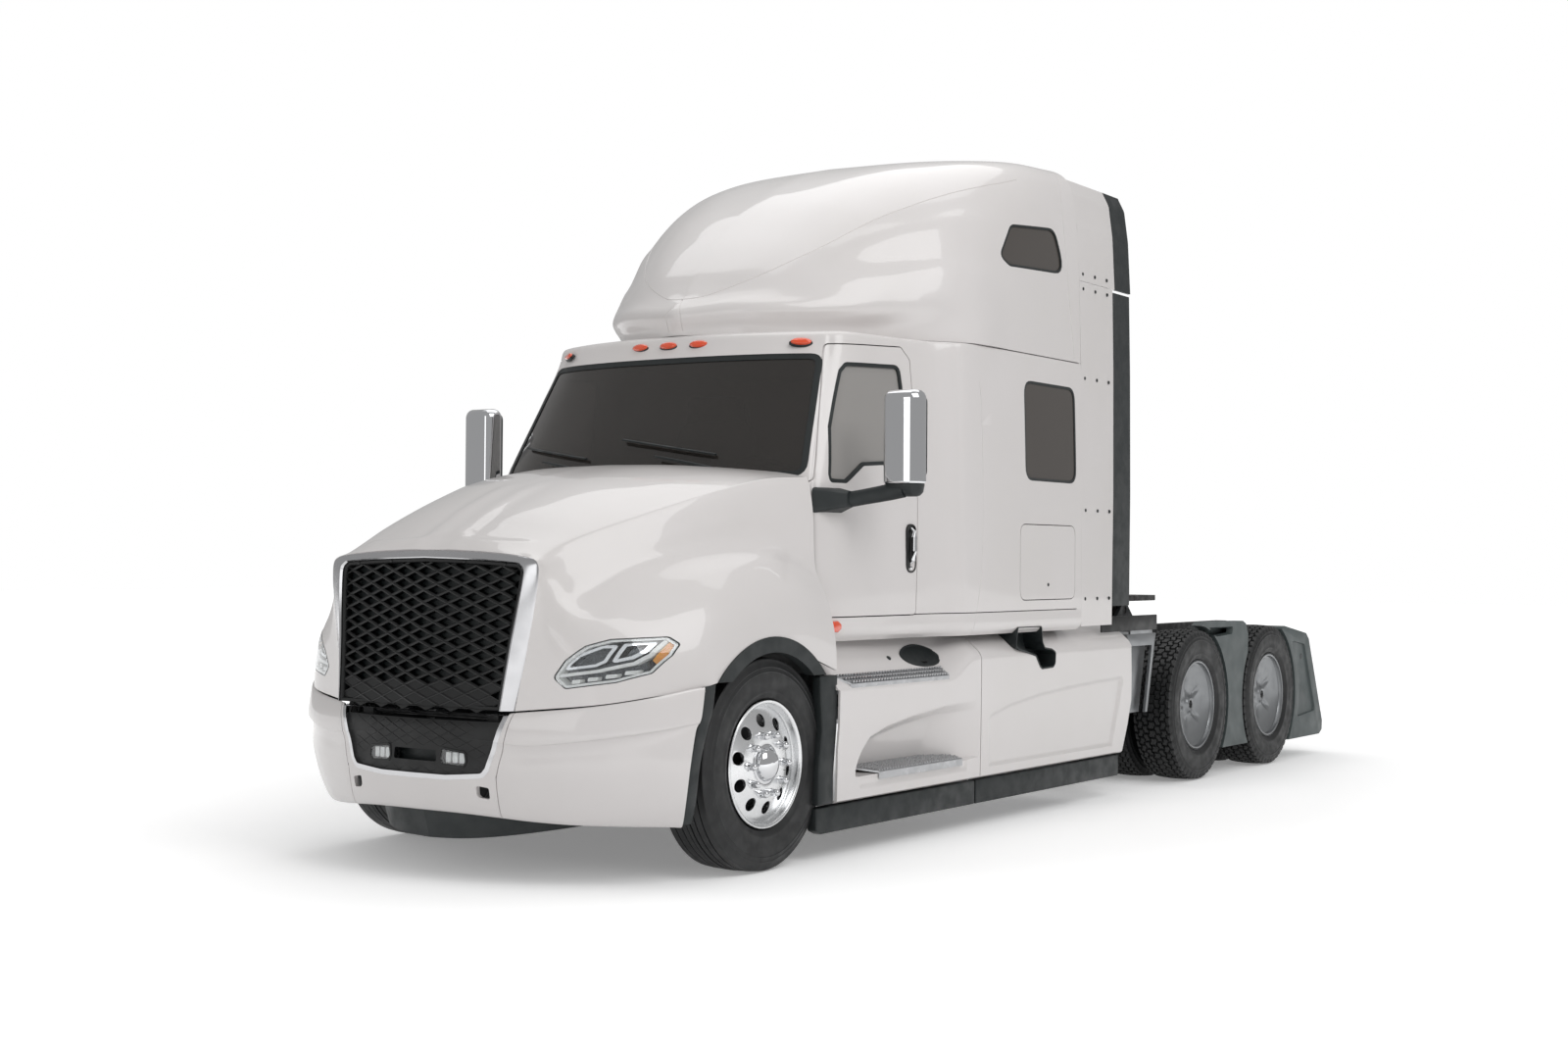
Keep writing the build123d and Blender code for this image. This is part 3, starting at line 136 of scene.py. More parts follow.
def make_materials():
    make = surface_material
    MATERIALS.update({
        # Sprayed white enamel under clear coat: soft orange peel and a wet shine.
        "white_paint": make("Enamel_sprayed_white_clearcoated", WHITE,
                            {"Roughness": 0.38, "IOR": 1.5, "Coat Weight": 0.7, "Coat Roughness": 0.04},
                            grain=(14, 0.012, 1.0), tint=(900, "#E0DCDA")),
        # Chassis enamel brushed on over steel: dull, dusty black.
        "chassis_paint": make("Enamel_chassis_black", "#1B1C1E", {"IOR": 1.5},
                              grain=(6, 0.2, 3.0), tint=(120, "#2A2B2C"), wear=(60, 0.4, 0.7)),
        # Polypropylene moulded against a grained tool: even, dark, faintly green.
        "dark_plastic": make("Polypropylene_moulded_black", "#1B2122", {"IOR": 1.49},
                             grain=(2, 0.08, 2.0), wear=(90, 0.42, 0.6)),
        # Polyethylene moulded in grey: waxy with broad soft highlights.
        "grey_plastic": make("Polyethylene_moulded_grey", "#535C5C", {"IOR": 1.51},
                             grain=(3, 0.1, 2.0), tint=(300, "#4A5252"), wear=(120, 0.42, 0.55)),
        # Acrylic moulded amber: bright, glossy, lit from inside by its own colour.
        "amber_lens": make("Acrylic_moulded_amber", "#F0501E",
                           {"Roughness": 0.12, "IOR": 1.49, "Coat Weight": 1.0,
                            "Subsurface Weight": 0.3},
                           grain=(9, 0.5, 0.0)),
        # Folded aluminium fins: fine dark ribs.
        "radiator_core": make("Aluminium_folded_fins", "#3C3E40", {"Metallic": 0.8},
                              grain=(4, 1.0, 1.0), wear=(40, 0.4, 0.6)),
        # Sand-cast iron: pitted and matt.
        "engine_iron": make("Iron_sand_cast", "#45474A", {"Metallic": 0.4},
                            grain=(5, 0.6, 5.0), wear=(70, 0.5, 0.8)),
        # Rubber floor mat moulded over steel: matt grey.
        "floor_panel": make("Rubber_moulded_mat", "#4A4A4B", {"IOR": 1.52},
                            grain=(8, 0.8, 2.0), wear=(80, 0.6, 0.85)),
        # Laminated float glass with a grey-green tint.
        "tinted_glass": make("Glass_laminated_tinted", "#5F5A56",
                             {"Roughness": 0.02, "IOR": 1.52, "Transmission Weight": 0.8},
                             grain=(400, 0.05, 0.0)),
        # Toughened tinted glass as an opaque brown-grey with a clean shine: the tint together with painted shade
        # for the unlit inside behind it.
        "privacy_glass_painted_shade": make("Glass_toughened_tinted_painted_shade", "#4C4743", {"IOR": 1.52, "Roughness": 0.12},
                              grain=(400, 0.03, 0.0)),
        # Toughened float glass: nearly clear.
        "side_glass": make("Glass_toughened_side", "#B9B6B3",
                           {"Roughness": 0.02, "IOR": 1.52, "Transmission Weight": 0.35},
                           grain=(400, 0.05, 0.0)),
        # Aluminium pressed with raised teeth.
        "tread_aluminium": make("Aluminium_pressed_tread", "#B9BABC", {"Metallic": 1.0},
                                grain=(3, 0.1, 3.0), wear=(50, 0.25, 0.45)),
        "polished_aluminium": make("Aluminium_polished_tank", "#C9CACC", {"Metallic": 1.0},
                                   grain=(30, 0.02, 2.0), wear=(90, 0.12, 0.25)),
        # Moulded vinyl-skinned dash: leather-like grain.
        "interior_plastic": make("Vinyl_moulded_dash", "#3A3632", {"IOR": 1.5},
                                 grain=(3, 0.3, 2.0), wear=(60, 0.5, 0.7)),
        "seat_fabric": make("Polyester_woven_seat", "#4A4541", {"Sheen Weight": 0.4},
                            grain=(2, 0.5, 2.0), wear=(50, 0.8, 0.95)),
        # ABS moulded in gloss black: deep, with sharp highlights.
        "black_grille": make("ABS_moulded_satin_black", "#0B0C0D", {"IOR": 1.45},
                             grain=(12, 0.05, 1.0), wear=(80, 0.40, 0.52)),
        # ABS plated in satin chrome: bright grey edges.
        "bright_trim": make("Chrome_satin_plated", "#C4C4C6", {"Metallic": 1.0},
                            grain=(20, 0.02, 1.0), wear=(80, 0.16, 0.26)),
        "chrome": make("Chrome_polished_plated", "#D6D7D9", {"Metallic": 1.0},
                       grain=(60, 0.02, 1.0), wear=(100, 0.03, 0.07)),
        # Polycarbonate moulded clear: hard and glassy.
        "lamp_lens": make("Polycarbonate_moulded_clear", "#F2F4F5",
                          {"Roughness": 0.02, "IOR": 1.52, "Transmission Weight": 1.0},
                          grain=(200, 0.05, 0.0)),
        # Acrylic moulded yellow-amber: the turn signal's glow.
        "signal_amber": make("Acrylic_moulded_yellow_amber", "#F59A1A",
                             {"Roughness": 0.15, "IOR": 1.49, "Subsurface Weight": 0.3},
                             grain=(9, 0.3, 0.0)),
        # Polycarbonate moulded dark grey and metallised; the dark grey is partly painted shade for the shadowed
        # inside of a lamp.
        "lamp_painted_shade": make("Polycarbonate_metallised_dark", "#4A4D50", {"Metallic": 0.7},
                           grain=(6, 0.1, 1.0), wear=(40, 0.2, 0.35)),
        # Polycarbonate moulded milky: light guides and lamp backs.
        "lamp_white": make("Polycarbonate_moulded_milky", "#F4F4F2", {"Roughness": 0.3, "IOR": 1.58},
                           grain=(20, 0.05, 0.0)),
        # Cast steel under grease.
        "coupling_steel": make("Steel_cast_greased", "#232324", {"Metallic": 0.6},
                               grain=(6, 0.3, 4.0), tint=(90, "#3A3634"), wear=(60, 0.25, 0.6)),
        # Vulcanised rubber: matt near-black with a grey bloom.
        "tyre_rubber": make("Rubber_vulcanised_tyre", "#151617", {"IOR": 1.52},
                            grain=(2, 0.12, 2.0), tint=(160, "#1C1D1E"), wear=(60, 0.45, 0.62)),
        # Forged aluminium, polished: bright and smooth.
        "wheel_aluminium": make("Aluminium_forged_polished", "#E2E3E4", {"Metallic": 1.0},
                                wear=(140, 0.24, 0.30)),
        # Forged aluminium left machined: softer and greyer.
        "wheel_satin": make("Aluminium_forged_machined", "#8D8F91", {"Metallic": 0.9},
                            grain=(5, 0.05, 2.0), wear=(60, 0.30, 0.42)),
    })


# ------------------------------------------------------------------ stage
class StageSettings(bpy.types.PropertyGroup):
    backdrop: FloatVectorProperty(name="Backdrop", description="Colour of the floor and backdrop",
                                  subtype="COLOR", default=(1.0, 1.0, 1.0), size=3)
    sky_strength: FloatProperty(name="Sky strength", description="Strength of the soft room light",
                                default=0.42)
    lens: FloatProperty(name="Lens", description="Focal length in mm on a 36 mm sensor",
                        default=46.64)


CAMERA_PLACE = (11.083, 6.603, 1.483)
CAMERA_YAW, CAMERA_PITCH, CAMERA_ROLL = -2.5461, 0.0169, 0.007


class TRACTOR_OT_stage(bpy.types.Operator):
    """Set the camera, the lights, the floor and the backdrop"""
    bl_idname = "tractor.stage"
    bl_label = "Stage"

    def execute(self, context):
        settings = context.scene.tractor_stage
        camera = bpy.data.cameras.new("camera")
        camera.lens = settings.lens
        camera.sensor_width = 36
        camera.clip_end = 200
        holder = bpy.data.objects.new("camera", camera)
        forward = Vector((math.cos(CAMERA_YAW) * math.cos(CAMERA_PITCH),
                          math.sin(CAMERA_YAW) * math.cos(CAMERA_PITCH), math.sin(CAMERA_PITCH)))
        right = forward.cross(Vector((0, 0, 1))).normalized()
        up = right.cross(forward)
        turned_right = math.cos(CAMERA_ROLL) * right + math.sin(CAMERA_ROLL) * up
        turned_up = math.cos(CAMERA_ROLL) * up - math.sin(CAMERA_ROLL) * right
        axes = Matrix((turned_right, turned_up, -forward)).transposed().to_4x4()
        holder.matrix_world = Matrix.Translation(CAMERA_PLACE) @ axes
        context.scene.collection.objects.link(holder)
        context.scene.camera = holder
        context.scene.view_settings.view_transform = "Standard"

        world = bpy.data.worlds.new("room")
        context.scene.world = world
        world.use_nodes = True
        tree = world.node_tree
        tree.nodes.clear()
        path = add_node(tree, "ShaderNodeLightPath")
        seen = add_node(tree, "ShaderNodeMath", {"operation": "MAXIMUM"},
                        links={0: (path, "Is Camera Ray"), 1: (path, "Is Transmission Ray")})
        colour = settings.backdrop[:] + (1.0,)
        soft = add_node(tree, "ShaderNodeBackground",
                        values={"Color": colour, "Strength": settings.sky_strength})
        white = add_node(tree, "ShaderNodeBackground", values={"Color": colour, "Strength": 1.0})
        mixed = add_node(tree, "ShaderNodeMixShader", links={0: (seen, 0), 1: (soft, 0), 2: (white, 0)})
        add_node(tree, "ShaderNodeOutputWorld", links={"Surface": (mixed, 0)})

        for name, place, aim, size, power in (
            ("key", (4.0, 9.0, 9.0), (1.0, 0.5, 1.6), 7.0, 420),
            ("overhead", (-1.0, -1.0, 9.5), (-0.5, 0.0, 1.5), 8.0, 260),
            ("front", (14.0, 1.0, 4.0), (3.5, 0.0, 1.2), 5.0, 110),
        ):
            lamp = bpy.data.lights.new(name, "AREA")
            lamp.size = size
            lamp.energy = power
            rig = bpy.data.objects.new(name, lamp)
            rig.location = place
            rig.rotation_euler = (Vector(aim) - Vector(place)).to_track_quat("-Z", "Y").to_euler()
            context.scene.collection.objects.link(rig)

        floor_mesh = bpy.data.meshes.new("floor")
        floor_reach = 60
        floor_mesh.from_pydata([(-floor_reach, -floor_reach, 0), (floor_reach, -floor_reach, 0),
                                (floor_reach, floor_reach, 0), (-floor_reach, floor_reach, 0)],
                               [], [(0, 1, 2, 3)])
        floor = bpy.data.objects.new("floor", floor_mesh)
        context.scene.collection.objects.link(floor)
        floor_mesh.materials.append(floor_material(colour))
        return {"FINISHED"}


FLOOR_GLOW_NEAR, FLOOR_GLOW_FAR = 0.22, 0.75


def floor_material(colour):
    """White studio floor: the shade near the object shows, and the rest is plain white."""
    material = bpy.data.materials.new("Vinyl_studio_floor")
    material.use_nodes = True
    tree = material.node_tree
    shader = tree.nodes["Principled BSDF"]
    shader.inputs["Base Color"].default_value = colour
    shader.inputs["Roughness"].default_value = 0.9
    shader.inputs["Specular IOR Level"].default_value = 0.1
    where = add_node(tree, "ShaderNodeTexCoord")
    squeeze = add_node(tree, "ShaderNodeMapping", values={"Scale": (0.75, 1.0, 1.0)},
                       links={"Vector": (where, "Object")})
    distance = add_node(tree, "ShaderNodeVectorMath", {"operation": "LENGTH"},
                        links={0: (squeeze, 0)})
    glow = add_node(tree, "ShaderNodeMapRange",
                    values={"From Min": 2.5, "From Max": 7.5, "To Min": FLOOR_GLOW_NEAR,
                            "To Max": FLOOR_GLOW_FAR}, links={"Value": (distance, "Value")})
    path = add_node(tree, "ShaderNodeLightPath")
    seen = add_node(tree, "ShaderNodeMath", {"operation": "MAXIMUM"},
                    links={0: (path, "Is Camera Ray"), 1: (path, "Is Glossy Ray")})
    also = add_node(tree, "ShaderNodeMath", {"operation": "MAXIMUM"},
                    links={0: (seen, 0), 1: (path, "Is Transmission Ray")})
    strength = add_node(tree, "ShaderNodeMath", {"operation": "MULTIPLY"},
                        links={0: (glow, "Result"), 1: (also, 0)})
    light = add_node(tree, "ShaderNodeEmission", values={"Color": colour},
                     links={"Strength": (strength, 0)})
    both = add_node(tree, "ShaderNodeAddShader", links={0: (shader, 0), 1: (light, 0)})
    tree.links.new(both.outputs[0], tree.nodes["Material Output"].inputs["Surface"])
    return material


# ------------------------------------------------------------------ carried-over pieces
def dress(node_name, material_name):
    """Give a CAD node's object a material."""
    shown = frame["nodes"][node_name]
    shown.data.materials.clear()
    shown.data.materials.append(MATERIALS[material_name])


class TRACTOR_OT_frame_finish(bpy.types.Operator):
    """Give every carried-over piece its finish"""
    bl_idname = "tractor.frame_finish"
    bl_label = "Carried-over pieces"

    def execute(self, context):
        for row in frame["record"]["subparts"]:
            dress(row["node"], row["material_slot"])
        return {"FINISHED"}


# ------------------------------------------------------------------ mesh tools
def spot(aft, y, z):
    """A place given in mm behind the front axle, across and up, in metres."""
    return (FRONT_AXLE - aft / 1000, y / 1000, z / 1000)


def smooth_through(points, steps):
    """Points on a smooth curve through the given ones."""
    points = np.asarray(points, float)
    ends = np.concatenate([[2 * points[0] - points[1]], points, [2 * points[-1] - points[-2]]])
    before, start, end, after = ends[:-3], ends[1:-2], ends[2:-1], ends[3:]
    fine = []
    for share in np.arange(steps) / steps:
        fine.append(0.5 * (2 * start + (end - before) * share
                           + (2 * before - 5 * start + 4 * end - after) * share ** 2
                           + (3 * start - before - 3 * end + after) * share ** 3))
    fine = np.stack(fine, axis=1).reshape((-1,) + points.shape[1:])
    return np.concatenate([fine, points[-1:]])


def surface_grid(sections, steps_along, steps_across):
    """A fine grid of places through a table of sections in mm."""
    table = np.array([[spot(*point) for point in section] for section in sections])
    return smooth_through(smooth_through(table, steps_along).transpose(1, 0, 2),
                          steps_across).transpose(1, 0, 2)


def grid_normals(grid, inside):
    """Unit normals of a grid, pointing away from the inside point."""
    along = np.gradient(grid, axis=0)
    across = np.gradient(grid, axis=1)
    normals = np.cross(along, across)
    length = np.linalg.norm(normals, axis=2, keepdims=True)
    normals = normals / np.maximum(length, 1e-12)
    side = np.sum(normals * (grid - np.array(inside)), axis=2)
    return normals if np.sum(side) > 0 else -normals


def new_piece(name, verts, faces, material=None, smooth_angle=38):
    """A mesh object with its shading angle set."""
    mesh = bpy.data.meshes.new(name)
    mesh.from_pydata([tuple(v) for v in verts], [], [tuple(f) for f in faces])
    mesh.validate()
    piece = bpy.data.objects.new(name, mesh)
    bpy.context.scene.collection.objects.link(piece)
    tidy_piece(piece, smooth_angle)
    if material:
        mesh.materials.append(MATERIALS[material])
    return piece


def tidy_piece(piece, smooth_angle=38):
    """Join doubled points, face every side out and shade it smooth up to an angle."""
    form = bmesh.new()
    form.from_mesh(piece.data)
    bmesh.ops.remove_doubles(form, verts=form.verts, dist=5e-5)
    bmesh.ops.dissolve_degenerate(form, dist=1e-5, edges=form.edges)
    bmesh.ops.recalc_face_normals(form, faces=form.faces)
    form.to_mesh(piece.data)
    form.free()
    piece.data.polygons.foreach_set("use_smooth", [True] * len(piece.data.polygons))
    piece.data.set_sharp_from_angle(angle=math.radians(smooth_angle))


def shell(name, grid, inside, outer=0.0, inner=-0.025, middle_edges=("t0",), both=True):
    """A closed sheet with an outer and an inner face, mirrored over the middle plane.

    middle_edges are the edges of the grid that lie on that plane and so stay unsealed.
    """
    normals = grid_normals(grid, inside)
    layers = []
    for distance in (outer, inner):
        layer = grid + normals * distance
        if "t0" in middle_edges:
            layer[:, 0, 1] = 0
        if "s0" in middle_edges:
            layer[0, :, 1] = 0
        if "s1" in middle_edges:
            layer[-1, :, 1] = 0
        layers.append(layer)
    rows, columns = grid.shape[:2]
    count = rows * columns
    verts = np.concatenate([layers[0].reshape(-1, 3), layers[1].reshape(-1, 3)])
    place = np.arange(count).reshape(rows, columns)
    faces = []
    for i in range(rows - 1):
        for j in range(columns - 1):
            quad = (place[i, j], place[i + 1, j], place[i + 1, j + 1], place[i, j + 1])
            faces.append(quad)
            faces.append(tuple(corner + count for corner in reversed(quad)))
    rims = {"s0": place[0], "s1": place[-1], "t0": place[:, 0], "t1": place[:, -1]}
    for edge, line in rims.items():
        if both and edge in middle_edges:
            continue
        for a, b in zip(line[:-1], line[1:]):
            faces.append((a, b, b + count, a + count))
    verts = verts.tolist()
    if both:
        shift = len(verts)
        faces += [tuple(corner + shift for corner in reversed(face)) for face in faces]
        verts += [(x, -y, z) for x, y, z in verts]
    return new_piece(name, verts, faces)


def rounded(points, radius, steps=5):
    """A closed outline with its corners rounded off."""
    outline = []
    count = len(points)
    for i, corner in enumerate(points):
        here = Vector(corner)
        back = Vector(points[i - 1]) - here
        ahead = Vector(points[(i + 1) % count]) - here
        angle = back.angle(ahead)
        reach = min(radius / math.tan(angle / 2), 0.48 * back.length, 0.48 * ahead.length)
        if reach < 0.001:
            outline.append(tuple(here))
            continue
        start = here + back.normalized() * reach
        end = here + ahead.normalized() * reach
        for k in range(steps + 1):
            t = k / steps
            outline.append(tuple(start * (1 - t) ** 2 + here * 2 * t * (1 - t) + end * t ** 2))
    return outline


def grown(points, distance):
    """A closed outline moved out by a distance, or in if it is negative."""
    area = sum(a[0] * b[1] - b[0] * a[1] for a, b in zip(points, points[1:] + points[:1]))
    turn = 1 if area > 0 else -1
    moved = []
    for i, corner in enumerate(points):
        here = Vector(corner)
        back = (here - Vector(points[i - 1])).normalized()
        ahead = (Vector(points[(i + 1) % len(points)]) - here).normalized()
        normals = [Vector((edge[1], -edge[0])) * turn for edge in (back, ahead)]
        middle = (normals[0] + normals[1])
        middle = middle / max(middle.length_squared / 2, 0.3)
        moved.append(tuple(here + middle * distance))
    return moved


def side_outline(points):
    """(behind the front axle, z) in mm to (x, z) in metres."""
    return [(FRONT_AXLE - aft / 1000, z / 1000) for aft, z in points]


def front_outline(points):
    """(y, z) in mm to metres."""
    return [(y / 1000, z / 1000) for y, z in points]


def mirrored(points):
    """The left half of a front view's outline, and then its right half."""
    return list(points) + [(-y, z) for y, z in reversed(points)]


def prism_data(outline, axis, low, high):
    """Points and faces of an outline run along an axis, "x", "y" or "z"."""
    count = len(outline)
    verts = []
    for level in (low, high):
        for a, b in outline:
            verts.append({"x": (level, a, b), "y": (a, level, b), "z": (a, b, level)}[axis])
    faces = [tuple(range(count)), tuple(reversed(range(count, 2 * count)))]
    for i in range(count):
        j = (i + 1) % count
        faces.append((i, i + count, j + count, j))
    return verts, faces


def joined(parts):
    """Several (points, faces) as one."""
    verts, faces = [], []
    for some_verts, some_faces in parts:
        shift = len(verts)
        verts += list(some_verts)
        faces += [tuple(corner + shift for corner in face) for face in some_faces]
    return verts, faces


def cut(piece, parts, operation="DIFFERENCE"):
    """Cut (points, faces) forms out of a piece, or keep only what lies in them."""
    tool = new_piece("cutter", *joined(parts))
    modifier = piece.modifiers.new("cut", "BOOLEAN")
    modifier.operation = operation
    modifier.solver = "MANIFOLD"
    modifier.object = tool
    graph = bpy.context.evaluated_depsgraph_get()
    result = bpy.data.meshes.new_from_object(piece.evaluated_get(graph))
    piece.modifiers.clear()
    old = piece.data
    piece.data = result
    bpy.data.meshes.remove(old)
    tool_mesh = tool.data
    bpy.data.objects.remove(tool)
    bpy.data.meshes.remove(tool_mesh)
    tidy_piece(piece)
    return piece


def copied(piece, name, flip=False):
    """A copy of a piece, mirrored over the middle plane if flip is set."""
    twin = piece.copy()
    twin.data = piece.data.copy()
    twin.name = name
    bpy.context.scene.collection.objects.link(twin)
    if flip:
        twin.data.transform(Matrix.Scale(-1, 4, (0, 1, 0)))
        twin.data.flip_normals()
    return twin


def finish_piece(piece, body, material, replaces=()):
    """Give a piece its finish, its body and the nodes that it stands for."""
    piece.data.materials.clear()
    piece.data.materials.append(MATERIALS[material])
    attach(piece, body)
    if replaces:
        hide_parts(*replaces)
    return piece


def patch(name, skin, outer, inner, keep, remove=(), both=True):
    """The part of a sheet, between two depths under a skin, that lies in keep and not in remove."""
    grid, inside, middle_edges = skin
    piece = shell(name, grid, inside, outer, inner, middle_edges, both)
    if keep:
        cut(piece, keep, "INTERSECT")
    if remove:
        cut(piece, list(remove))
    return piece


def along_x(outline, low=3.4, high=4.6):
    """An outline seen from the front, in metres, run back through the nose."""
    return prism_data(outline, "x", low, high)


def lathe(profile, centre=(0, 0, 0), steps=96, sign=1):
    """A closed profile of (radius, y) turned about an axis that runs across the tractor."""
    verts = []
    for k in range(steps):
        turn = 2 * math.pi * k / steps
        verts += [(centre[0] + r * math.cos(turn), centre[1] + sign * y, centre[2] + r * math.sin(turn))
                  for r, y in profile]
    count = len(profile)
    faces = []
    for k in range(steps):
        near, far = k * count, (k + 1) % steps * count
        for i in range(count):
            j = (i + 1) % count
            faces.append((near + i, far + i, far + j, near + j))
    return verts, faces


def loft(rings):
    """A closed form through rings of the same number of points, with its ends capped."""
    count = len(rings[0])
    verts = [point for ring in rings for point in ring]
    faces = [tuple(range(count)), tuple(len(verts) - 1 - i for i in range(count))]
    for level in range(len(rings) - 1):
        base = level * count
        for i in range(count):
            j = (i + 1) % count
            faces.append((base + i, base + j, base + count + j, base + count + i))
    return verts, faces


def tube(points, radius, sides=16, flat=1.0):
    """A round or flattened bar through points, radius given once or for each of them."""
    points = [Vector(point) for point in points]
    radii = radius if isinstance(radius, (list, tuple)) else [radius] * len(points)
    rings = []
    for i, point in enumerate(points):
        ahead = (points[min(i + 1, len(points) - 1)] - points[max(i - 1, 0)]).normalized()
        side = ahead.cross(Vector((0, 0, 1)))
        if side.length < 0.05:
            side = ahead.cross(Vector((1, 0, 0)))
        side.normalize()
        up = side.cross(ahead).normalized()
        rings.append([tuple(point + side * radii[i] * math.cos(a) + up * radii[i] * flat * math.sin(a))
                      for a in np.linspace(0, 2 * math.pi, sides, endpoint=False)])
    return loft(rings)


def block(x, y, z):
    """A box between two places on each axis."""
    return prism_data([(x[0], y[0]), (x[1], y[0]), (x[1], y[1]), (x[0], y[1])], "z", *z)


def flipped(part):
    """(points, faces) mirrored over the middle plane."""
    verts, faces = part
    return [(x, -y, z) for x, y, z in verts], [tuple(reversed(face)) for face in faces]


def two_sided(parts):
    """Parts of the left side together with their mirror images."""
    return list(parts) + [flipped(part) for part in parts]


def bevelled(piece, width, segments=3, angle=30):
    """Round every edge of a piece that is sharper than an angle."""
    form = bmesh.new()
    form.from_mesh(piece.data)
    bmesh.ops.remove_doubles(form, verts=form.verts, dist=5e-5)
    bmesh.ops.recalc_face_normals(form, faces=form.faces)
    edges = [edge for edge in form.edges
             if len(edge.link_faces) == 2 and edge.calc_face_angle() > math.radians(angle)]
    bmesh.ops.bevel(form, geom=edges, offset=width, segments=segments, profile=0.5, affect="EDGES",
                    clamp_overlap=True)
    form.to_mesh(piece.data)
    form.free()
    tidy_piece(piece)
    return piece


def made(name, parts, body, material, replaces=(), bevel=0.0, segments=2):
    """A finished piece from a list of (points, faces)."""
    piece = new_piece(name, *joined(parts))
    if bevel:
        bevelled(piece, bevel, segments)
    return finish_piece(piece, body, material, replaces)


# ------------------------------------------------------------------ body panels
HOOD_SECTIONS = (
    # (behind the front axle, y, z) in mm: each section runs from the middle out and down
    ((504, 0, 1957), (504, 400, 1949), (504, 760, 1922), (504, 1008, 1888), (504, 1050, 1862),
     (504, 1078, 1720), (504, 1086, 1560), (504, 1096, 1432), (508, 1128, 1352), (522, 1166, 1250),
     (545, 1190, 1090), (556, 1193, 928)),
    ((250, 0, 1952), (250, 370, 1943), (250, 700, 1912), (250, 935, 1872), (250, 976, 1848),
     (250, 1004, 1720), (250, 1015, 1600), (250, 1046, 1512), (250, 1104, 1440), (250, 1166, 1322),
     (250, 1194, 1190), (250, 1200, 1020)),
    ((0, 0, 1925), (0, 340, 1915), (0, 640, 1873), (0, 861, 1818), (0, 903, 1790), (0, 936, 1680),
     (0, 956, 1580), (0, 996, 1508), (0, 1070, 1440), (0, 1150, 1320), (0, 1190, 1205),
     (0, 1200, 1080)),
    ((-350, 0, 1850), (-350, 300, 1839), (-350, 560, 1790), (-350, 758, 1722), (-350, 802, 1692),
     (-350, 848, 1590), (-350, 880, 1512), (-350, 926, 1456), (-350, 1018, 1382), (-350, 1126, 1268),
     (-350, 1180, 1140), (-350, 1200, 940)),
    ((-680, 0, 1725), (-680, 270, 1716), (-678, 500, 1676), (-674, 664, 1621), (-668, 706, 1590),
     (-656, 758, 1500), (-642, 802, 1424), (-626, 862, 1376), (-610, 958, 1296), (-590, 1070, 1180),
     (-573, 1138, 1050), (-560, 1168, 890)),
    ((-880, 0, 1618), (-880, 250, 1610), (-877, 450, 1582), (-872, 602, 1549), (-866, 648, 1516),
     (-854, 696, 1428), (-840, 744, 1334), (-826, 812, 1274), (-808, 900, 1200), (-786, 986, 1106),
     (-771, 1036, 1000), (-764, 1056, 858)),
    ((-1000, 0, 1545), (-1000, 250, 1538), (-997, 440, 1518), (-992, 582, 1498), (-986, 634, 1466),
     (-979, 672, 1382), (-970, 714, 1284), (-961, 762, 1200), (-953, 808, 1122), (-945, 846, 1040),
     (-938, 869, 940), (-935, 880, 824)),
    ((-1058, 0, 1506), (-1058, 290, 1499), (-1053, 520, 1484), (-1050, 606, 1472), (-1050, 642, 1446),
     (-1052, 647, 1380), (-1056, 636, 1290), (-1058, 621, 1200), (-1062, 603, 1110),
     (-1066, 585, 1010), (-1072, 562, 900), (-1078, 540, 790)),
)

ROOF_SECTIONS = (
    # (behind the front axle, y, z) in mm, as for the hood; the last one folds round the nose
    ((3240, 0, 3898), (3240, 520, 3893), (3240, 820, 3880), (3240, 990, 3856), (3240, 1095, 3800),
     (3240, 1150, 3700), (3240, 1178, 3500), (3240, 1196, 3170), (3240, 1204, 2860), (3240, 1208, 2668)),
    ((2800, 0, 3886), (2800, 500, 3878), (2800, 790, 3860), (2800, 955, 3830), (2800, 1065, 3770),
     (2800, 1130, 3660), (2800, 1168, 3460), (2800, 1192, 3160), (2800, 1204, 2860), (2800, 1208, 2668)),
    ((2350, 0, 3822), (2350, 470, 3808), (2350, 720, 3780), (2350, 880, 3735), (2350, 1000, 3655),
     (2350, 1085, 3525), (2350, 1145, 3345), (2350, 1186, 3080), (2350, 1202, 2830), (2350, 1208, 2668)),
    ((1950, 0, 3700), (1950, 420, 3682), (1950, 640, 3645), (1950, 790, 3590), (1950, 910, 3500),
     (1950, 1010, 3370), (1950, 1095, 3200), (1950, 1165, 2980), (1950, 1192, 2800), (1950, 1208, 2668)),
    ((1560, 0, 3500), (1565, 380, 3480), (1575, 580, 3435), (1590, 720, 3370), (1610, 830, 3270),
     (1630, 920, 3140), (1650, 1000, 3000), (1665, 1050, 2880), (1672, 1035, 2760), (1665, 1030, 2668)),
    ((1250, 0, 3270), (1258, 340, 3245), (1275, 520, 3195), (1300, 650, 3120), (1330, 750, 3030),
     (1360, 830, 2940), (1385, 885, 2865), (1405, 890, 2800), (1430, 850, 2735), (1440, 840, 2668)),
    ((1040, 0, 3080), (1046, 280, 3055), (1062, 430, 3005), (1085, 540, 2945), (1105, 620, 2890),
     (1122, 680, 2850), (1138, 710, 2805), (1160, 705, 2765), (1185, 690, 2715), (1190, 690, 2668)),
    ((930, 0, 2960), (925, 150, 2935), (915, 245, 2900), (905, 310, 2872), (895, 365, 2848),
     (888, 400, 2822), (888, 415, 2790), (900, 412, 2755), (918, 408, 2710), (915, 405, 2668)),
    ((862, 0, 2880), (835, 0, 2858), (808, 0, 2838), (785, 0, 2818), (768, 0, 2800), (757, 0, 2780),
     (755, 0, 2760), (762, 0, 2735), (775, 0, 2700), (785, 0, 2668)),
)

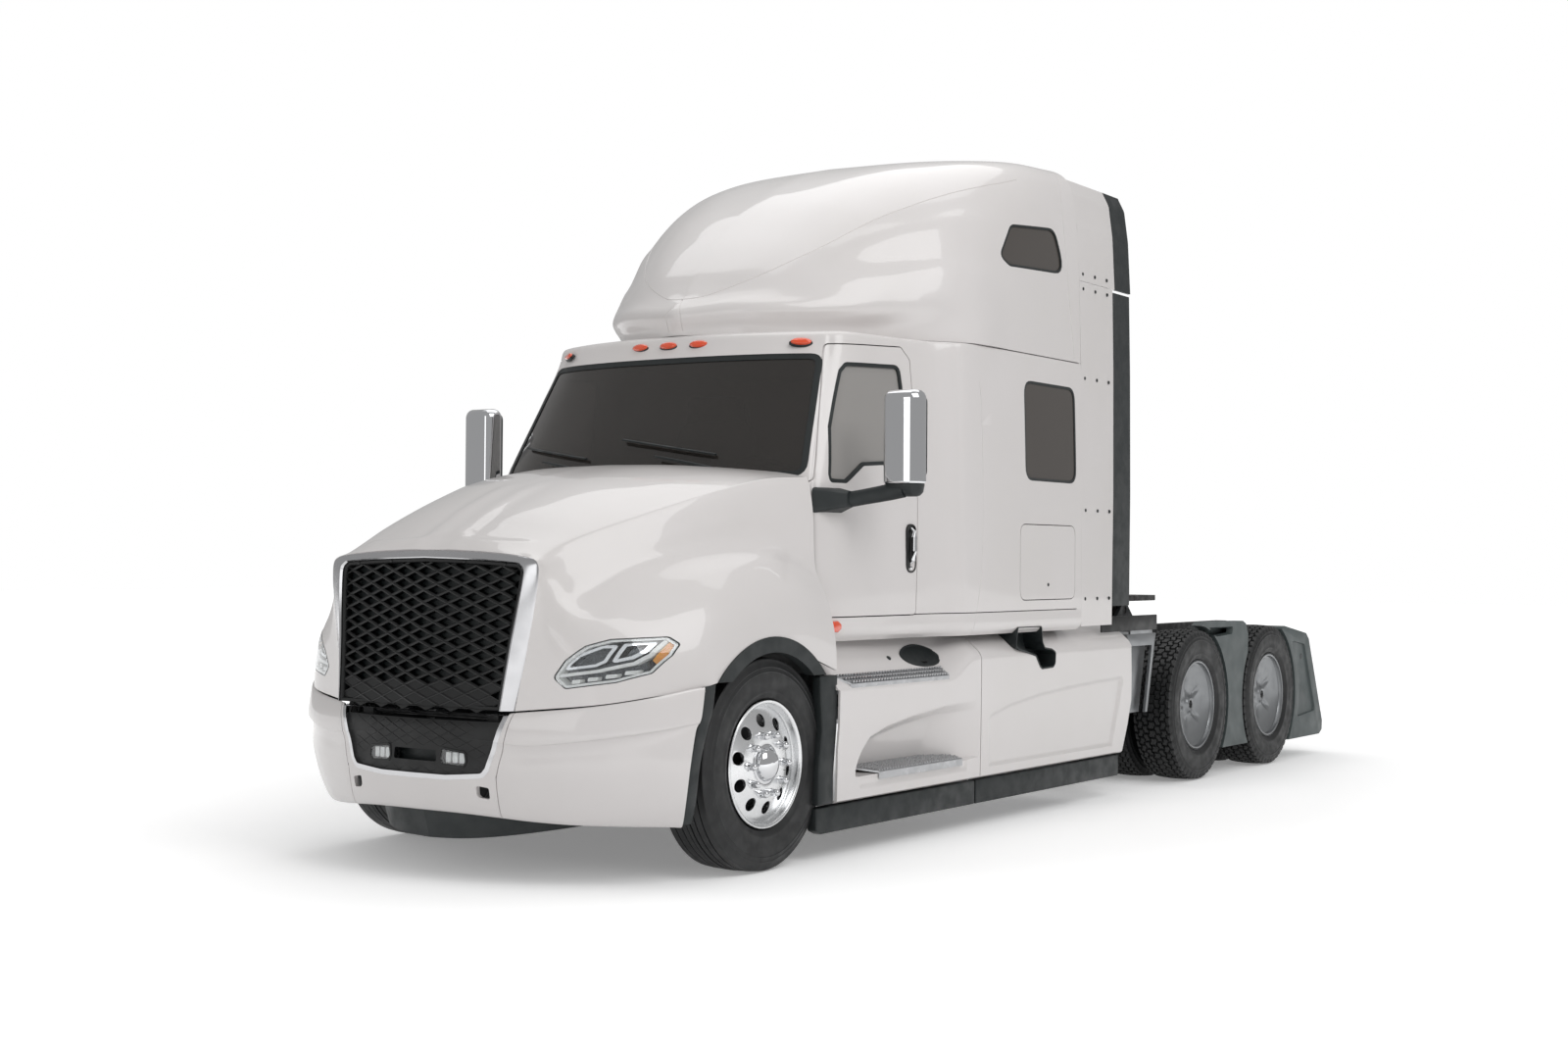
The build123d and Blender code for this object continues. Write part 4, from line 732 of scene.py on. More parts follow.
CAB_LEVELS = (
    # (behind the front axle, y, z) in mm: each level runs from the windscreen back to the rear
    ((775, 0, 2662), (785, 300, 2662), (850, 600, 2662), (930, 810, 2662), (960, 870, 2662),
     (1000, 920, 2662), (1100, 955, 2662), (1290, 985, 2662), (1480, 1020, 2662), (1640, 1060, 2662),
     (1770, 1150, 2662), (1900, 1195, 2662), (2500, 1207, 2662), (3240, 1207, 2662)),
    ((745, 0, 2640), (757, 330, 2640), (822, 640, 2640), (900, 850, 2640), (930, 895, 2640),
     (975, 940, 2640), (1080, 975, 2640), (1280, 1005, 2640), (1480, 1040, 2640), (1640, 1080, 2640),
     (1770, 1162, 2640), (1900, 1200, 2640), (2500, 1210, 2640), (3240, 1210, 2640)),
    ((700, 0, 2545), (715, 340, 2545), (775, 660, 2545), (868, 868, 2545), (900, 905, 2545),
     (945, 950, 2545), (1060, 990, 2545), (1270, 1018, 2545), (1475, 1050, 2545), (1640, 1095, 2545),
     (1770, 1168, 2545), (1900, 1205, 2545), (2500, 1213, 2545), (3240, 1213, 2545)),
    ((563, 0, 2300), (580, 360, 2300), (648, 690, 2300), (748, 910, 2300), (785, 950, 2300),
     (840, 990, 2300), (970, 1030, 2300), (1220, 1055, 2300), (1470, 1080, 2300), (1640, 1120, 2300),
     (1770, 1180, 2300), (1900, 1211, 2300), (2500, 1217, 2300), (3240, 1217, 2300)),
    ((345, 0, 1895), (366, 390, 1895), (445, 740, 1895), (556, 985, 1895), (590, 1022, 1895),
     (640, 1058, 1895), (800, 1092, 1895), (1150, 1110, 1895), (1470, 1120, 1895), (1640, 1150, 1895),
     (1770, 1196, 1895), (1900, 1217, 1895), (2500, 1220, 1895), (3240, 1220, 1895)),
    ((400, 0, 1700), (420, 390, 1700), (480, 750, 1700), (530, 1010, 1700), (545, 1045, 1700),
     (590, 1075, 1700), (780, 1105, 1700), (1150, 1122, 1700), (1470, 1130, 1700), (1640, 1158, 1700),
     (1770, 1199, 1700), (1900, 1218, 1700), (2500, 1220, 1700), (3240, 1220, 1700)),
    ((440, 0, 1400), (450, 390, 1400), (485, 750, 1400), (515, 1010, 1400), (530, 1055, 1400),
     (570, 1085, 1400), (780, 1112, 1400), (1150, 1128, 1400), (1470, 1135, 1400), (1640, 1160, 1400),
     (1770, 1200, 1400), (1900, 1218, 1400), (2500, 1220, 1400), (3240, 1220, 1400)),
    ((460, 0, 1187), (465, 390, 1187), (490, 750, 1187), (508, 1010, 1187), (522, 1056, 1187),
     (562, 1086, 1187), (780, 1113, 1187), (1150, 1128, 1187), (1470, 1135, 1187), (1640, 1158, 1187),
     (1770, 1198, 1187), (1900, 1217, 1187), (2500, 1220, 1187), (3240, 1220, 1187)),
    ((480, 0, 1100), (482, 390, 1100), (495, 750, 1100), (503, 1008, 1100), (515, 1055, 1100),
     (555, 1084, 1100), (780, 1108, 1100), (1150, 1126, 1100), (1470, 1134, 1100), (1640, 1156, 1100),
     (1770, 1196, 1100), (1900, 1216, 1100), (2500, 1219, 1100), (3240, 1219, 1100)),
    ((500, 0, 1062), (502, 390, 1062), (510, 750, 1062), (515, 985, 1062), (530, 1030, 1062),
     (565, 1056, 1062), (780, 1078, 1062), (1150, 1096, 1062), (1470, 1104, 1062), (1640, 1126, 1062),
     (1770, 1166, 1062), (1900, 1186, 1062), (2500, 1189, 1062), (3240, 1189, 1062)),
)

CAB_INSIDE = (1.2, 0.0, 1.8)
CAB_STEPS = (5, 5)
WINDSCREEN = [(892, 2538), (1004, 1885)]
DOOR = [(520, 1187), (520, 1838), (588, 1874), (902, 2586), (1418, 2608), (1478, 2545), (1440, 1700),
        (1420, 1187)]
DOOR_WINDOW = [(958, 2496), (1396, 2512), (1402, 1969), (1142, 1967), (960, 1955), (826, 1878),
               (792, 1860), (668, 1860), (664, 1900), (746, 2150), (908, 2452)]
SLEEPER_WINDOW = [(2490, 2510), (3150, 2510), (3170, 1935), (2510, 1935)]
LUGGAGE = [(2450, 1680), (3150, 1680), (3150, 1250), (2450, 1250)]
UPPER_WINDOW = [(2445, 3405), (2950, 3445), (3060, 3180), (2375, 3150), (2280, 3200)]
SILL_HEIGHT = 1184
SEAM = 5


def both_sides(outline, low=0.8, high=1.35):
    """A side-view outline run through both walls."""
    return [prism_data(outline, "y", low, high), prism_data(outline, "y", -high, -low)]


CAB_SEAM = ((1973, 1211, 2461), (1993, 1215, 2246), (2001, 1219, 1905), (2003, 1220, 1621),
            (1984, 1219, 1394), (1940, 1218, 1196), (1908, 1217, 1110), (1900, 1205, 1075))
SIDE_MARKER = ((590, 1114), (596, 1162), (684, 1166), (714, 1150), (718, 1126), (684, 1108))
LUGGAGE_LOCK = (2.799, 1.334)


class TRACTOR_OT_cab(bpy.types.Operator):
    """Build the cab's outer panels, its glass and its doors"""
    bl_idname = "tractor.cab"
    bl_label = "Cab panels and glass"

    def execute(self, context):
        grid = surface_grid(CAB_LEVELS, *CAB_STEPS)
        screen = rounded(front_outline(mirrored(WINDSCREEN)), 0.07)
        window = rounded(side_outline(SLEEPER_WINDOW), 0.085)
        luggage = rounded(side_outline(LUGGAGE), 0.06)
        luggage_gap = rounded(grown(side_outline(LUGGAGE), SEAM / 1000), 0.064)
        sill_slot = side_outline([(520, SILL_HEIGHT + SEAM), (3180, SILL_HEIGHT + SEAM),
                                  (3180, SILL_HEIGHT), (520, SILL_HEIGHT)])
        door_gap = rounded(grown(side_outline(DOOR), 0.006), 0.03)
        cab = shell("cab_body", grid, CAB_INSIDE)
        cut(cab, [prism_data(screen, "x", 2.0, 3.5)])
        cut(cab, both_sides(door_gap) + both_sides(window) + both_sides(luggage_gap))
        cut(cab, both_sides(sill_slot, 1.1))
        cut(cab, two_sided([seam_tube(grid, CAB_SEAM, 0.0022)]))
        finish_piece(cab, "chassis", "white_paint",
                     ("cab_cowl", "cab_roof", "sleeper_side_left", "sleeper_side_right"))

        skin = (grid, CAB_INSIDE, ("t0",))
        pane = patch("windscreen_pane", skin, -0.006, -0.012,
                     [prism_data(grown(screen, 0.004), "x", 2.0, 3.5)])
        finish_piece(pane, "chassis", "tinted_glass")
        panes = patch("sleeper_panes", skin, -0.006, -0.012, both_sides(grown(window, 0.004)))
        # opaque sleeper panes: their dark colour is tint plus painted shade for the unlit inside
        finish_piece(panes, "chassis", "privacy_glass_painted_shade")
        bands = shell("windscreen_border", grid, CAB_INSIDE, -0.002, -0.0055)
        cut(bands, [prism_data(screen, "x", 2.0, 3.5)] + both_sides(window), "INTERSECT")
        cut(bands, [prism_data(grown(screen, -0.03), "x", 2.0, 3.5)]
            + both_sides(grown(window, -0.016)))
        finish_piece(bands, "chassis", "dark_plastic")
        plan = [(x - 0.03 if x > 2.2 else x, y - 0.03) for x, y, z in grid[-1] if y > 0.03]
        plan = plan + [(x, -y) for x, y in reversed(plan)]
        made("cab_floor_pan", [prism_data(plan, "z", 1.100, 1.158)], "chassis", "floor_panel",
             ("cab_floor",))

        outline = rounded(side_outline(DOOR), 0.025)
        pane = rounded(side_outline(DOOR_WINDOW), 0.05)
        door = shell("door_panel_left", grid, CAB_INSIDE, inner=-0.03, both=False)
        cut(door, [prism_data(outline, "y", 0.85, 1.35)], "INTERSECT")
        cut(door, [prism_data(pane, "y", 0.85, 1.35)])
        glass = shell("door_pane_left", grid, CAB_INSIDE, -0.012, -0.017, both=False)
        cut(glass, [prism_data(grown(pane, 0.004), "y", 0.85, 1.35)], "INTERSECT")
        gasket = shell("door_gasket_left", grid, CAB_INSIDE, -0.003, -0.012, both=False)
        cut(gasket, [prism_data(pane, "y", 0.85, 1.35)], "INTERSECT")
        cut(gasket, [prism_data(grown(pane, -0.020), "y", 0.85, 1.35)])
        lid = shell("luggage_lid_left", grid, CAB_INSIDE, both=False)
        cut(lid, [prism_data(luggage, "y", 0.85, 1.35)], "INTERSECT")
        for side, sign in SIDES:
            left = sign > 0
            pieces = [piece if left else copied(piece, piece.name.replace("left", "right"), True)
                      for piece in (door, glass, gasket, lid)]
            finish_piece(pieces[0], f"door_{side}", "white_paint", (f"door_{side}",))
            finish_piece(pieces[1], f"door_{side}", "side_glass",
                         (f"door_glass_{side}",))
            finish_piece(pieces[2], f"door_{side}", "dark_plastic")
            finish_piece(pieces[3], f"luggage_door_{side}", "white_paint",
                         (f"luggage_door_{side}",))
            aft, up = LUGGAGE_LOCK
            lock = [(0.0001, 1.212), (0.010, 1.212), (0.010, 1.2225), (0.007, 1.2245), (0.0055, 1.2215),
                    (0.0001, 1.2215)]
            made(f"luggage_lock_{side}", [lathe(lock, (FRONT_AXLE - aft, 0, up), 24, sign)],
                 f"luggage_door_{side}", "dark_plastic")
        marker = both_sides(rounded(side_outline(SIDE_MARKER), 0.012), 1.080, 1.120)
        made("side_markers", marker, "chassis", "amber_lens", bevel=0.006, segments=3)
        return {"FINISHED"}


ROOF_STEPS = (10, 8)
ROOF_CREASES = (
    # (behind the front axle, y, z) in mm along each crease, and its height
    (((1250, 620, 3110), (1575, 816, 3249), (1904, 998, 3344), (2455, 1135, 3455)), 11),
    (((1100, 560, 2930), (1473, 880, 3007), (1789, 1065, 3063), (2148, 1175, 3071)), 12),
)
ROOF_SEAMS = (
    ((2640, 1073, 3690), (2481, 1057, 3653), (2012, 935, 3519), (1638, 777, 3362), (1412, 666, 3234),
     (1224, 550, 3120), (1024, 370, 2990), (892, 160, 2894), (856, 60, 2875), (852, 0, 2873)),
    ((852, 0, 2872), (800, 20, 2830), (772, 44, 2783), (793, 48, 2691)),
    ((3164, 560, 3893), (3164, 980, 3857), (3161, 1094, 3795), (3075, 1160, 3650), (3065, 1180, 3480),
     (3084, 1194, 3187), (3121, 1203, 2896), (3155, 1208, 2690)),
)


def creased(grid, lines, inside=(1.0, 0.0, 2.7), sunken=False):
    """A grid with soft ridges raised along lines, each fading towards both of its ends.

    A ridge is steep above it; with sunken set it is steep towards the outer rear instead.
    """
    normals = grid_normals(grid, inside)
    raised = grid.copy()
    for places, height in lines:
        line = smooth_through(np.array([spot(*place) for place in places]), 12)
        gaps = np.linalg.norm(grid[:, :, None, :] - line[None, None], axis=3)
        nearest = gaps.argmin(axis=2)
        gap = gaps.min(axis=2)
        share = nearest / (len(line) - 1)
        fade = np.clip(np.minimum(share + 0.1 * sunken, 1 - share) * 4, 0, 1)
        if sunken:
            off = grid - line[nearest]
            steep = off[:, :, 1] - off[:, :, 0] > 0
        else:
            steep = grid[:, :, 2] > line[nearest][:, :, 2]
        width = np.where(steep, 0.022 if sunken else 0.050, 0.120)
        raised += normals * (height / 1000 * fade * np.exp(-(gap / width) ** 2))[:, :, None]
    return raised


class TRACTOR_OT_roof(bpy.types.Operator):
    """Build the high roof cap with its side windows, seams and marker lamps"""
    bl_idname = "tractor.roof"
    bl_label = "Roof cap"

    def execute(self, context):
        grid = creased(surface_grid(ROOF_SECTIONS, *ROOF_STEPS), ROOF_CREASES)
        window = rounded(side_outline(UPPER_WINDOW), 0.10)
        inside = (1.0, 0.0, 2.7)
        skin = (grid, inside, ("t0", "s1"))
        roof = shell("roof_shell", grid, inside, middle_edges=("t0", "s1"))
        cut(roof, both_sides(window))
        seams = []
        for seam in ROOF_SEAMS:
            seams.append(seam_tube(grid, seam))
        cut(roof, two_sided(seams))
        finish_piece(roof, "chassis", "white_paint", ("roof_cap",))
        panes = patch("roof_panes", skin, -0.008, -0.013, both_sides(grown(window, 0.004)))
        # opaque roof panes: their dark colour is tint plus painted shade for the unlit inside
        finish_piece(panes, "chassis", "privacy_glass_painted_shade", ("cab_glass",))
        bands = patch("roof_gaskets", skin, -0.001, -0.0075, both_sides(window),
                      both_sides(grown(window, -0.014)))
        finish_piece(bands, "chassis", "dark_plastic")
        back = [(y, z) for x, y, z in grid[0]]
        back = [(y - 0.004, z - 0.003) for y, z in back if y > 0.05]
        back += [(back[-1][0], 2.655)]
        made("roof_back", [prism_data(mirrored(back), "x", -0.058, -0.046)], "chassis", "white_paint")
        plan = [(x - 0.004 if x > 2.2 else x, y - 0.006) for x, y, z in
                surface_grid(CAB_LEVELS, *CAB_STEPS)[0] if y > 0.02]
        plan = plan + [(x, -y) for x, y in reversed(plan)]
        made("cab_top", [prism_data(plan, "z", 2.640, 2.660)], "chassis", "white_paint")
        self.markers()
        return {"FINISHED"}

    def markers(self):
        """Five oval marker lamps over the windscreen, each in a low dark housing."""
        lenses, housings = [], []
        for aft, y in ((-732, 0), (-739, 196), (-739, -196), (-837, 780), (-837, -780)):
            rise = 2.6215 if abs(y) < 700 else 2.6125
            turn = -0.60 if y > 700 else 0.60 if y < -700 else (-0.12 if y > 0 else 0.12 if y < 0 else 0)
            for out, low, high, found in ((1.0, 0.0, 0.018, lenses), (1.16, -0.012, 0.006, housings)):
                rings = []
                for share, level in ((1.0, low), (1.0, low + (high - low) * 0.55),
                                     (0.86, low + (high - low) * 0.88), (0.5, high)):
                    ring = []
                    for a in np.linspace(0, 2 * math.pi, 32, endpoint=False):
                        across = 0.054 * out * share * math.cos(a)
                        rise_face = 0.021 * out * share * math.sin(a)
                        forward = level
                        dx = forward * 0.80 - rise_face * 0.60
                        dz = forward * 0.60 + rise_face * 0.80
                        ring.append((FRONT_AXLE + aft / 1000 + dx * math.cos(turn) - across * math.sin(turn) * -1,
                                     y / 1000 + across * math.cos(turn) - dx * math.sin(turn),
                                     rise - 0.016 + dz))
                    rings.append(ring)
                found.append(loft(rings))
        made("marker_lenses", lenses, "chassis", "amber_lens", ("body_lamps",))
        made("marker_housings", housings, "chassis", "dark_plastic")


def seam_tube(grid, seam, radius=0.003):
    """A thin bar along a seam, whose middle lies on the surface that a grid describes."""
    line = smooth_through(np.array([spot(*place) for place in seam]), 12)
    places = grid.reshape(-1, 3)
    normals = grid_normals(grid, (1.0, 0.0, 2.7)).reshape(-1, 3)
    settled = []
    for point in line:
        near = np.argsort(np.sum((places - point) ** 2, axis=1))[:4]
        normal = normals[near].mean(axis=0)
        normal /= np.linalg.norm(normal)
        settled.append(tuple(point - normal * np.dot(point - places[near].mean(axis=0), normal)))
    return tube(settled, radius, 8)


LAMP_OUTLINE = [(704, 942), (757, 892), (952, 922), (1058, 962), (1100, 1040), (1108, 1092),
                (1070, 1126), (911, 1116), (832, 1086), (755, 1020)]


HOOD_STEPS = (10, 9)
HOOD_CREASES = (
    # the sunken panel on each side of the hood's middle: its inner and its front edge
    (((-985, 108, 1556), (-900, 104, 1607), (-700, 104, 1714), (-520, 108, 1786), (-330, 116, 1853)), 9),
    (((-962, 110, 1566), (-985, 160, 1552), (-986, 260, 1546), (-976, 340, 1543), (-950, 460, 1541),
      (-925, 540, 1530)), 9),
)


class TRACTOR_OT_hood(bpy.types.Operator):
    """Build the hood with its fender crowns"""
    bl_idname = "tractor.hood"
    bl_label = "Hood"

    def execute(self, context):
        grid = creased(surface_grid(HOOD_SECTIONS, *HOOD_STEPS), HOOD_CREASES, (3.2, 0.0, 0.9), True)
        hood = shell("hood_shell", grid, (3.2, 0.0, 0.9), inner=-0.018)
        arch = [(FRONT_AXLE + 0.603 * math.cos(a), HUB + 0.603 * math.sin(a))
                for a in np.linspace(0, 2 * math.pi, 96, endpoint=False)]
        lamp = rounded(front_outline(LAMP_OUTLINE), 0.022)
        lamp_right = [(-y, z) for y, z in lamp]
        cut(hood, [prism_data(arch, "y", -1.3, 1.3), prism_data(lamp, "x", 3.6, 4.3),
                   prism_data(lamp_right, "x", 3.6, 4.3)])
        finish_piece(hood, "hood", "white_paint", ("hood",))
        return {"FINISHED"}


BUMPER_LEVELS = (
    # (behind the front axle, y, z) in mm: each level runs from the middle round to the rear edge
    ((-1140, 0, 772), (-1128, 240, 774), (-1096, 470, 778), (-1052, 610, 789), (-990, 770, 805),
     (-905, 915, 825), (-800, 1032, 848), (-690, 1115, 872), (-600, 1165, 890), (-545, 1190, 897)),
    ((-1152, 0, 762), (-1139, 240, 764), (-1107, 472, 768), (-1062, 616, 779), (-1000, 778, 795),
     (-914, 924, 815), (-808, 1042, 838), (-696, 1125, 862), (-604, 1175, 880), (-549, 1199, 886)),
    ((-1166, 0, 720), (-1152, 240, 722), (-1119, 475, 722), (-1077, 622, 724), (-1013, 786, 732),
     (-924, 934, 742), (-819, 1050, 756), (-714, 1131, 768), (-628, 1179, 776), (-572, 1202, 780)),
    ((-1168, 0, 672), (-1154, 240, 668), (-1121, 475, 656), (-1079, 622, 648), (-1016, 788, 666),
     (-927, 936, 686), (-822, 1053, 706), (-722, 1134, 724), (-643, 1180, 738), (-590, 1204, 744)),
    ((-1168, 0, 660), (-1154, 240, 656), (-1119, 474, 644), (-1074, 616, 636), (-1008, 779, 652),
     (-918, 926, 672), (-814, 1042, 692), (-718, 1124, 711), (-642, 1171, 726), (-593, 1196, 732)),
    ((-1168, 0, 625), (-1155, 240, 620), (-1116, 468, 606), (-1068, 608, 600), (-1001, 770, 614),
     (-910, 917, 632), (-810, 1034, 652), (-718, 1117, 672), (-650, 1167, 688), (-608, 1192, 696)),
    ((-1169, 0, 520), (-1156, 240, 520), (-1118, 460, 520), (-1072, 602, 520), (-1005, 762, 524),
     (-915, 910, 532), (-815, 1028, 542), (-738, 1112, 550), (-680, 1164, 554), (-640, 1190, 556)),
    ((-1160, 0, 400), (-1146, 240, 400), (-1102, 452, 402), (-1050, 594, 400), (-975, 752, 396),
     (-882, 892, 392), (-790, 1002, 390), (-715, 1084, 388), (-668, 1136, 388), (-640, 1166, 388)),
    ((-1140, 0, 330), (-1124, 238, 328), (-1076, 446, 318), (-1018, 586, 306), (-940, 738, 296),
     (-845, 868, 290), (-755, 970, 286), (-682, 1050, 284), (-638, 1098, 282), (-612, 1126, 280)),
    ((-1100, 0, 318), (-1085, 234, 316), (-1040, 436, 304), (-982, 572, 292), (-905, 720, 282),
     (-812, 846, 276), (-724, 944, 272), (-655, 1022, 270), (-618, 1070, 270), (-600, 1096, 270)),
)
STRIP_LEVELS = (
    # (behind the front axle, y, z) in mm: the dark strip behind each bumper end
    ((-544, 1180, 898), (-540, 1188, 898), (-495, 1190, 902), (-446, 1184, 904), (-440, 1150, 904)),
    ((-572, 1186, 780), (-566, 1196, 780), (-525, 1198, 786), (-478, 1192, 790), (-470, 1155, 790)),
    ((-600, 1186, 700), (-594, 1196, 700), (-560, 1198, 700), (-520, 1192, 700), (-512, 1155, 700)),
    ((-638, 1176, 556), (-632, 1186, 556), (-595, 1189, 556), (-556, 1182, 556), (-548, 1145, 556)),
    ((-638, 1152, 388), (-632, 1162, 388), (-596, 1166, 388), (-556, 1160, 388), (-548, 1120, 388)),
    ((-608, 1112, 282), (-602, 1122, 282), (-572, 1128, 282), (-536, 1122, 282), (-528, 1085, 282)),
)
INTAKE = [(532, 830), (512, 745), (430, 522), (400, 486), (200, 470)]
SURROUND_INNER = ((0, 1470), (290, 1462), (500, 1450), (538, 1446), (564, 1420), (565, 1365),
                  (556, 1280), (546, 1195), (534, 1110), (523, 1010), (512, 900), (503, 792))
FOG_LAMP = [(160, 612), (296, 598), (304, 552), (286, 530), (166, 536), (152, 560)]
RECESS = [(0, 600), (128, 600), (134, 548), (0, 548)]
TOW_HOLE = [(360, 452), (424, 444), (424, 392), (372, 398), (360, 410)]
DIAMOND = (0.146, 0.058)      # width and height of the grille's openings
LAMP_BEZEL = 0.011


def grille_face(y, z, forward=0.0):
    """The place on the grille's two flat halves, which meet in a crease in the middle."""
    return (FRONT_AXLE + 1.085 + (1.47 - z) * 0.1176 - abs(y) * 0.072 + forward, y, z)


def inside_outline(y, z, outline):
    """Whether a place lies inside a closed outline."""
    inside = False
    for (y0, z0), (y1, z1) in zip(outline, outline[1:] + outline[:1]):
        if (z0 > z) != (z1 > z) and y < (y1 - y0) * (z - z0) / (z1 - z0) + y0:
            inside = not inside
    return inside


def lattice(face, outline, size, bar, ridge, solid_below, floor_depth):
    """Diamonds side by side: a ridge between neighbours that slopes down to each opening."""
    width, height = size
    verts, faces = [], []
    rows = int(1.0 / height)
    for row in range(-2 * rows, 2 * rows):
        z = 1.12 + row * height / 2
        for column in range(-8, 9):
            y = (column + 0.5 * (row % 2)) * width
            if not inside_outline(y, z, outline):
                continue
            fill = min(1.0, max(0.0, (solid_below - z) / 0.05)) if solid_below else 0.0
            share = 1 - bar * (1 - 0.35 * fill)
            base = len(verts)
            corners = ((width / 2, 0), (0, height / 2), (-width / 2, 0), (0, -height / 2))
            depth = -ridge * 1.6 - (0.022 if fill < 1 else 0.0)
            for scale, rise in ((1.0, ridge * (1 - 0.6 * fill)), (share, 0.0), (share * 0.97, depth)):
                for a, b in corners:
                    place = (y + a * scale, z + b * scale)
                    if not inside_outline(*place, outline):
                        place = nearest_run([(0, *place)], outline)[0]
                    verts.append(face(*place, rise))
            for i in range(4):
                j = (i + 1) % 4
                faces.append((base + i, base + j, base + 4 + j, base + 4 + i))
                faces.append((base + 4 + i, base + 4 + j, base + 8 + j, base + 8 + i))
            if fill > 0 or floor_depth:
                floor = face(y, z, -floor_depth - 0.002)[0] - face(y, z)[0]
                start = len(verts)
                verts += [face(y + a * share, z + b * share, floor) for a, b in corners]
                faces.append((start, start + 1, start + 2, start + 3))
    return verts, faces


class TRACTOR_OT_grille(bpy.types.Operator):
    """Build the grille, its mesh and its bright surround"""
    bl_idname = "tractor.grille"
    bl_label = "Grille"

    def execute(self, context):
        half = np.array(SURROUND_INNER, float) / 1000
        half = np.concatenate([smooth_through(half[:4], 4)[:-1], smooth_through(half[3:], 4)])
        edge = np.array([spot(*point) for point in HOOD_SECTIONS[-1]])
        edge = np.concatenate([smooth_through(edge[:4], 4)[:-1], smooth_through(edge[3:], 4)])
        inner = [(-y, z) for y, z in reversed(half[1:].tolist())] + half.tolist()
        outer = [(x, -y, z) for x, y, z in reversed(edge[1:].tolist())] + edge.tolist()
        rings = [outer]
        for share, rise in ((0.10, 0.005), (0.85, 0.005)):
            rings.append([blend(o, grille_face(*i, 0.018), share, rise) for o, i in zip(outer, inner)])
        rings.append([grille_face(*i, 0.014) for i in inner])
        rings.append([grille_face(*i, -0.03) for i in inner])
        rings.append([blend(o, grille_face(*i, -0.03), 0.02, -0.03) for o, i in zip(outer, inner)])
        made("grille_surround_band", [ring_band(rings, closed=False)], "hood", "bright_trim",
             ("grille_surround",))
        rim = inner
        mesh = lattice(grille_face, grown(rim, -0.002), DIAMOND, 0.27, 0.005, 0.90, 0.0)
        piece = new_piece("grille_mesh", *mesh, smooth_angle=20)
        finish_piece(piece, "hood", "black_grille", ("grille",))
        frame_rings = []
        for ring, depth in ((rim, 0.0), (grown(rim, -0.004), 0.010), (grown(rim, -0.016), 0.009),
                            (grown(rim, -0.022), 0.0), (grown(rim, -0.022), -0.03),
                            (rim, -0.03)):
            frame_rings.append([grille_face(y, z, depth) for y, z in ring])
        band = ring_band(frame_rings)
        screws = [dome(grille_face(y, z, 0.009), (1, 0, 0), 0.008, 0.005)
                  for y, z in ((-0.46, 1.443), (-0.23, 1.454), (0.23, 1.454), (0.46, 1.443))]
        made("grille_frame", [band] + screws, "hood", "black_grille")
        # A dark plate behind the grille's openings: painted shade for the cavity behind the grille.
        halves = []
        for flank in (1, -1):
            shape = [(0.0, 1.475), (flank * 0.30, 1.468), (flank * 0.56, 1.43), (flank * 0.566, 1.36),
                     (flank * 0.505, 0.795), (0.0, 0.79)]
            halves.append(loft([[grille_face(y, z, depth) for y, z in shape]
                                for depth in (-0.042, -0.036)]))
        made("grille_painted_shade_backing", halves, "hood", "dark_plastic")
        return {"FINISHED"}


def blend(start, end, share, forward=0.0):
    """A place part of the way between two, moved forward."""
    return tuple(a + (b - a) * share + (forward if i == 0 else 0.0)
                 for i, (a, b) in enumerate(zip(start, end)))


def nearest_run(places, outline):
    """For each place, the nearest point (y, z) on an outline's edges."""
    found = []
    for x, y, z in places:
        best = None
        for (y0, z0), (y1, z1) in zip(outline, outline[1:] + outline[:1]):
            along = ((y - y0) * (y1 - y0) + (z - z0) * (z1 - z0)) / ((y1 - y0) ** 2 + (z1 - z0) ** 2
                                                                      + 1e-12)
            along = min(1.0, max(0.0, along))
            point = (y0 + (y1 - y0) * along, z0 + (z1 - z0) * along)
            reach = (point[0] - y) ** 2 + (point[1] - z) ** 2
            if best is None or reach < best[0]:
                best = (reach, point)
        found.append(best[1])
    return found


def ring_band(rings, closed=True):
    """A closed band whose cross-section runs through the rings in turn."""
    count = len(rings[0])
    verts = [point for ring in rings for point in ring]
    faces = []
    for level in range(len(rings)):
        here, there = level * count, (level + 1) % len(rings) * count
        for i in range(count if closed else count - 1):
            j = (i + 1) % count
            faces.append((here + i, here + j, there + j, there + i))
    if not closed:
        faces.append(tuple(level * count for level in range(len(rings))))
        faces.append(tuple((level + 1) * count - 1 for level in reversed(range(len(rings)))))
    return verts, faces


def dome(centre, direction, radius, height, sides=16):
    """A low domed head, such as that of a screw, standing on a face."""
    axis = Vector(direction).normalized()
    side = axis.orthogonal().normalized()
    up = axis.cross(side)
    rings = []
    for share, rise in ((1.0, -0.3), (1.0, 0.35), (0.85, 0.7), (0.5, 0.95), (0.12, 1.0)):
        rings.append([tuple(Vector(centre) + axis * height * rise
                            + (side * math.cos(a) + up * math.sin(a)) * radius * share)
                      for a in np.linspace(0, 2 * math.pi, sides, endpoint=False)])
    return loft(rings)


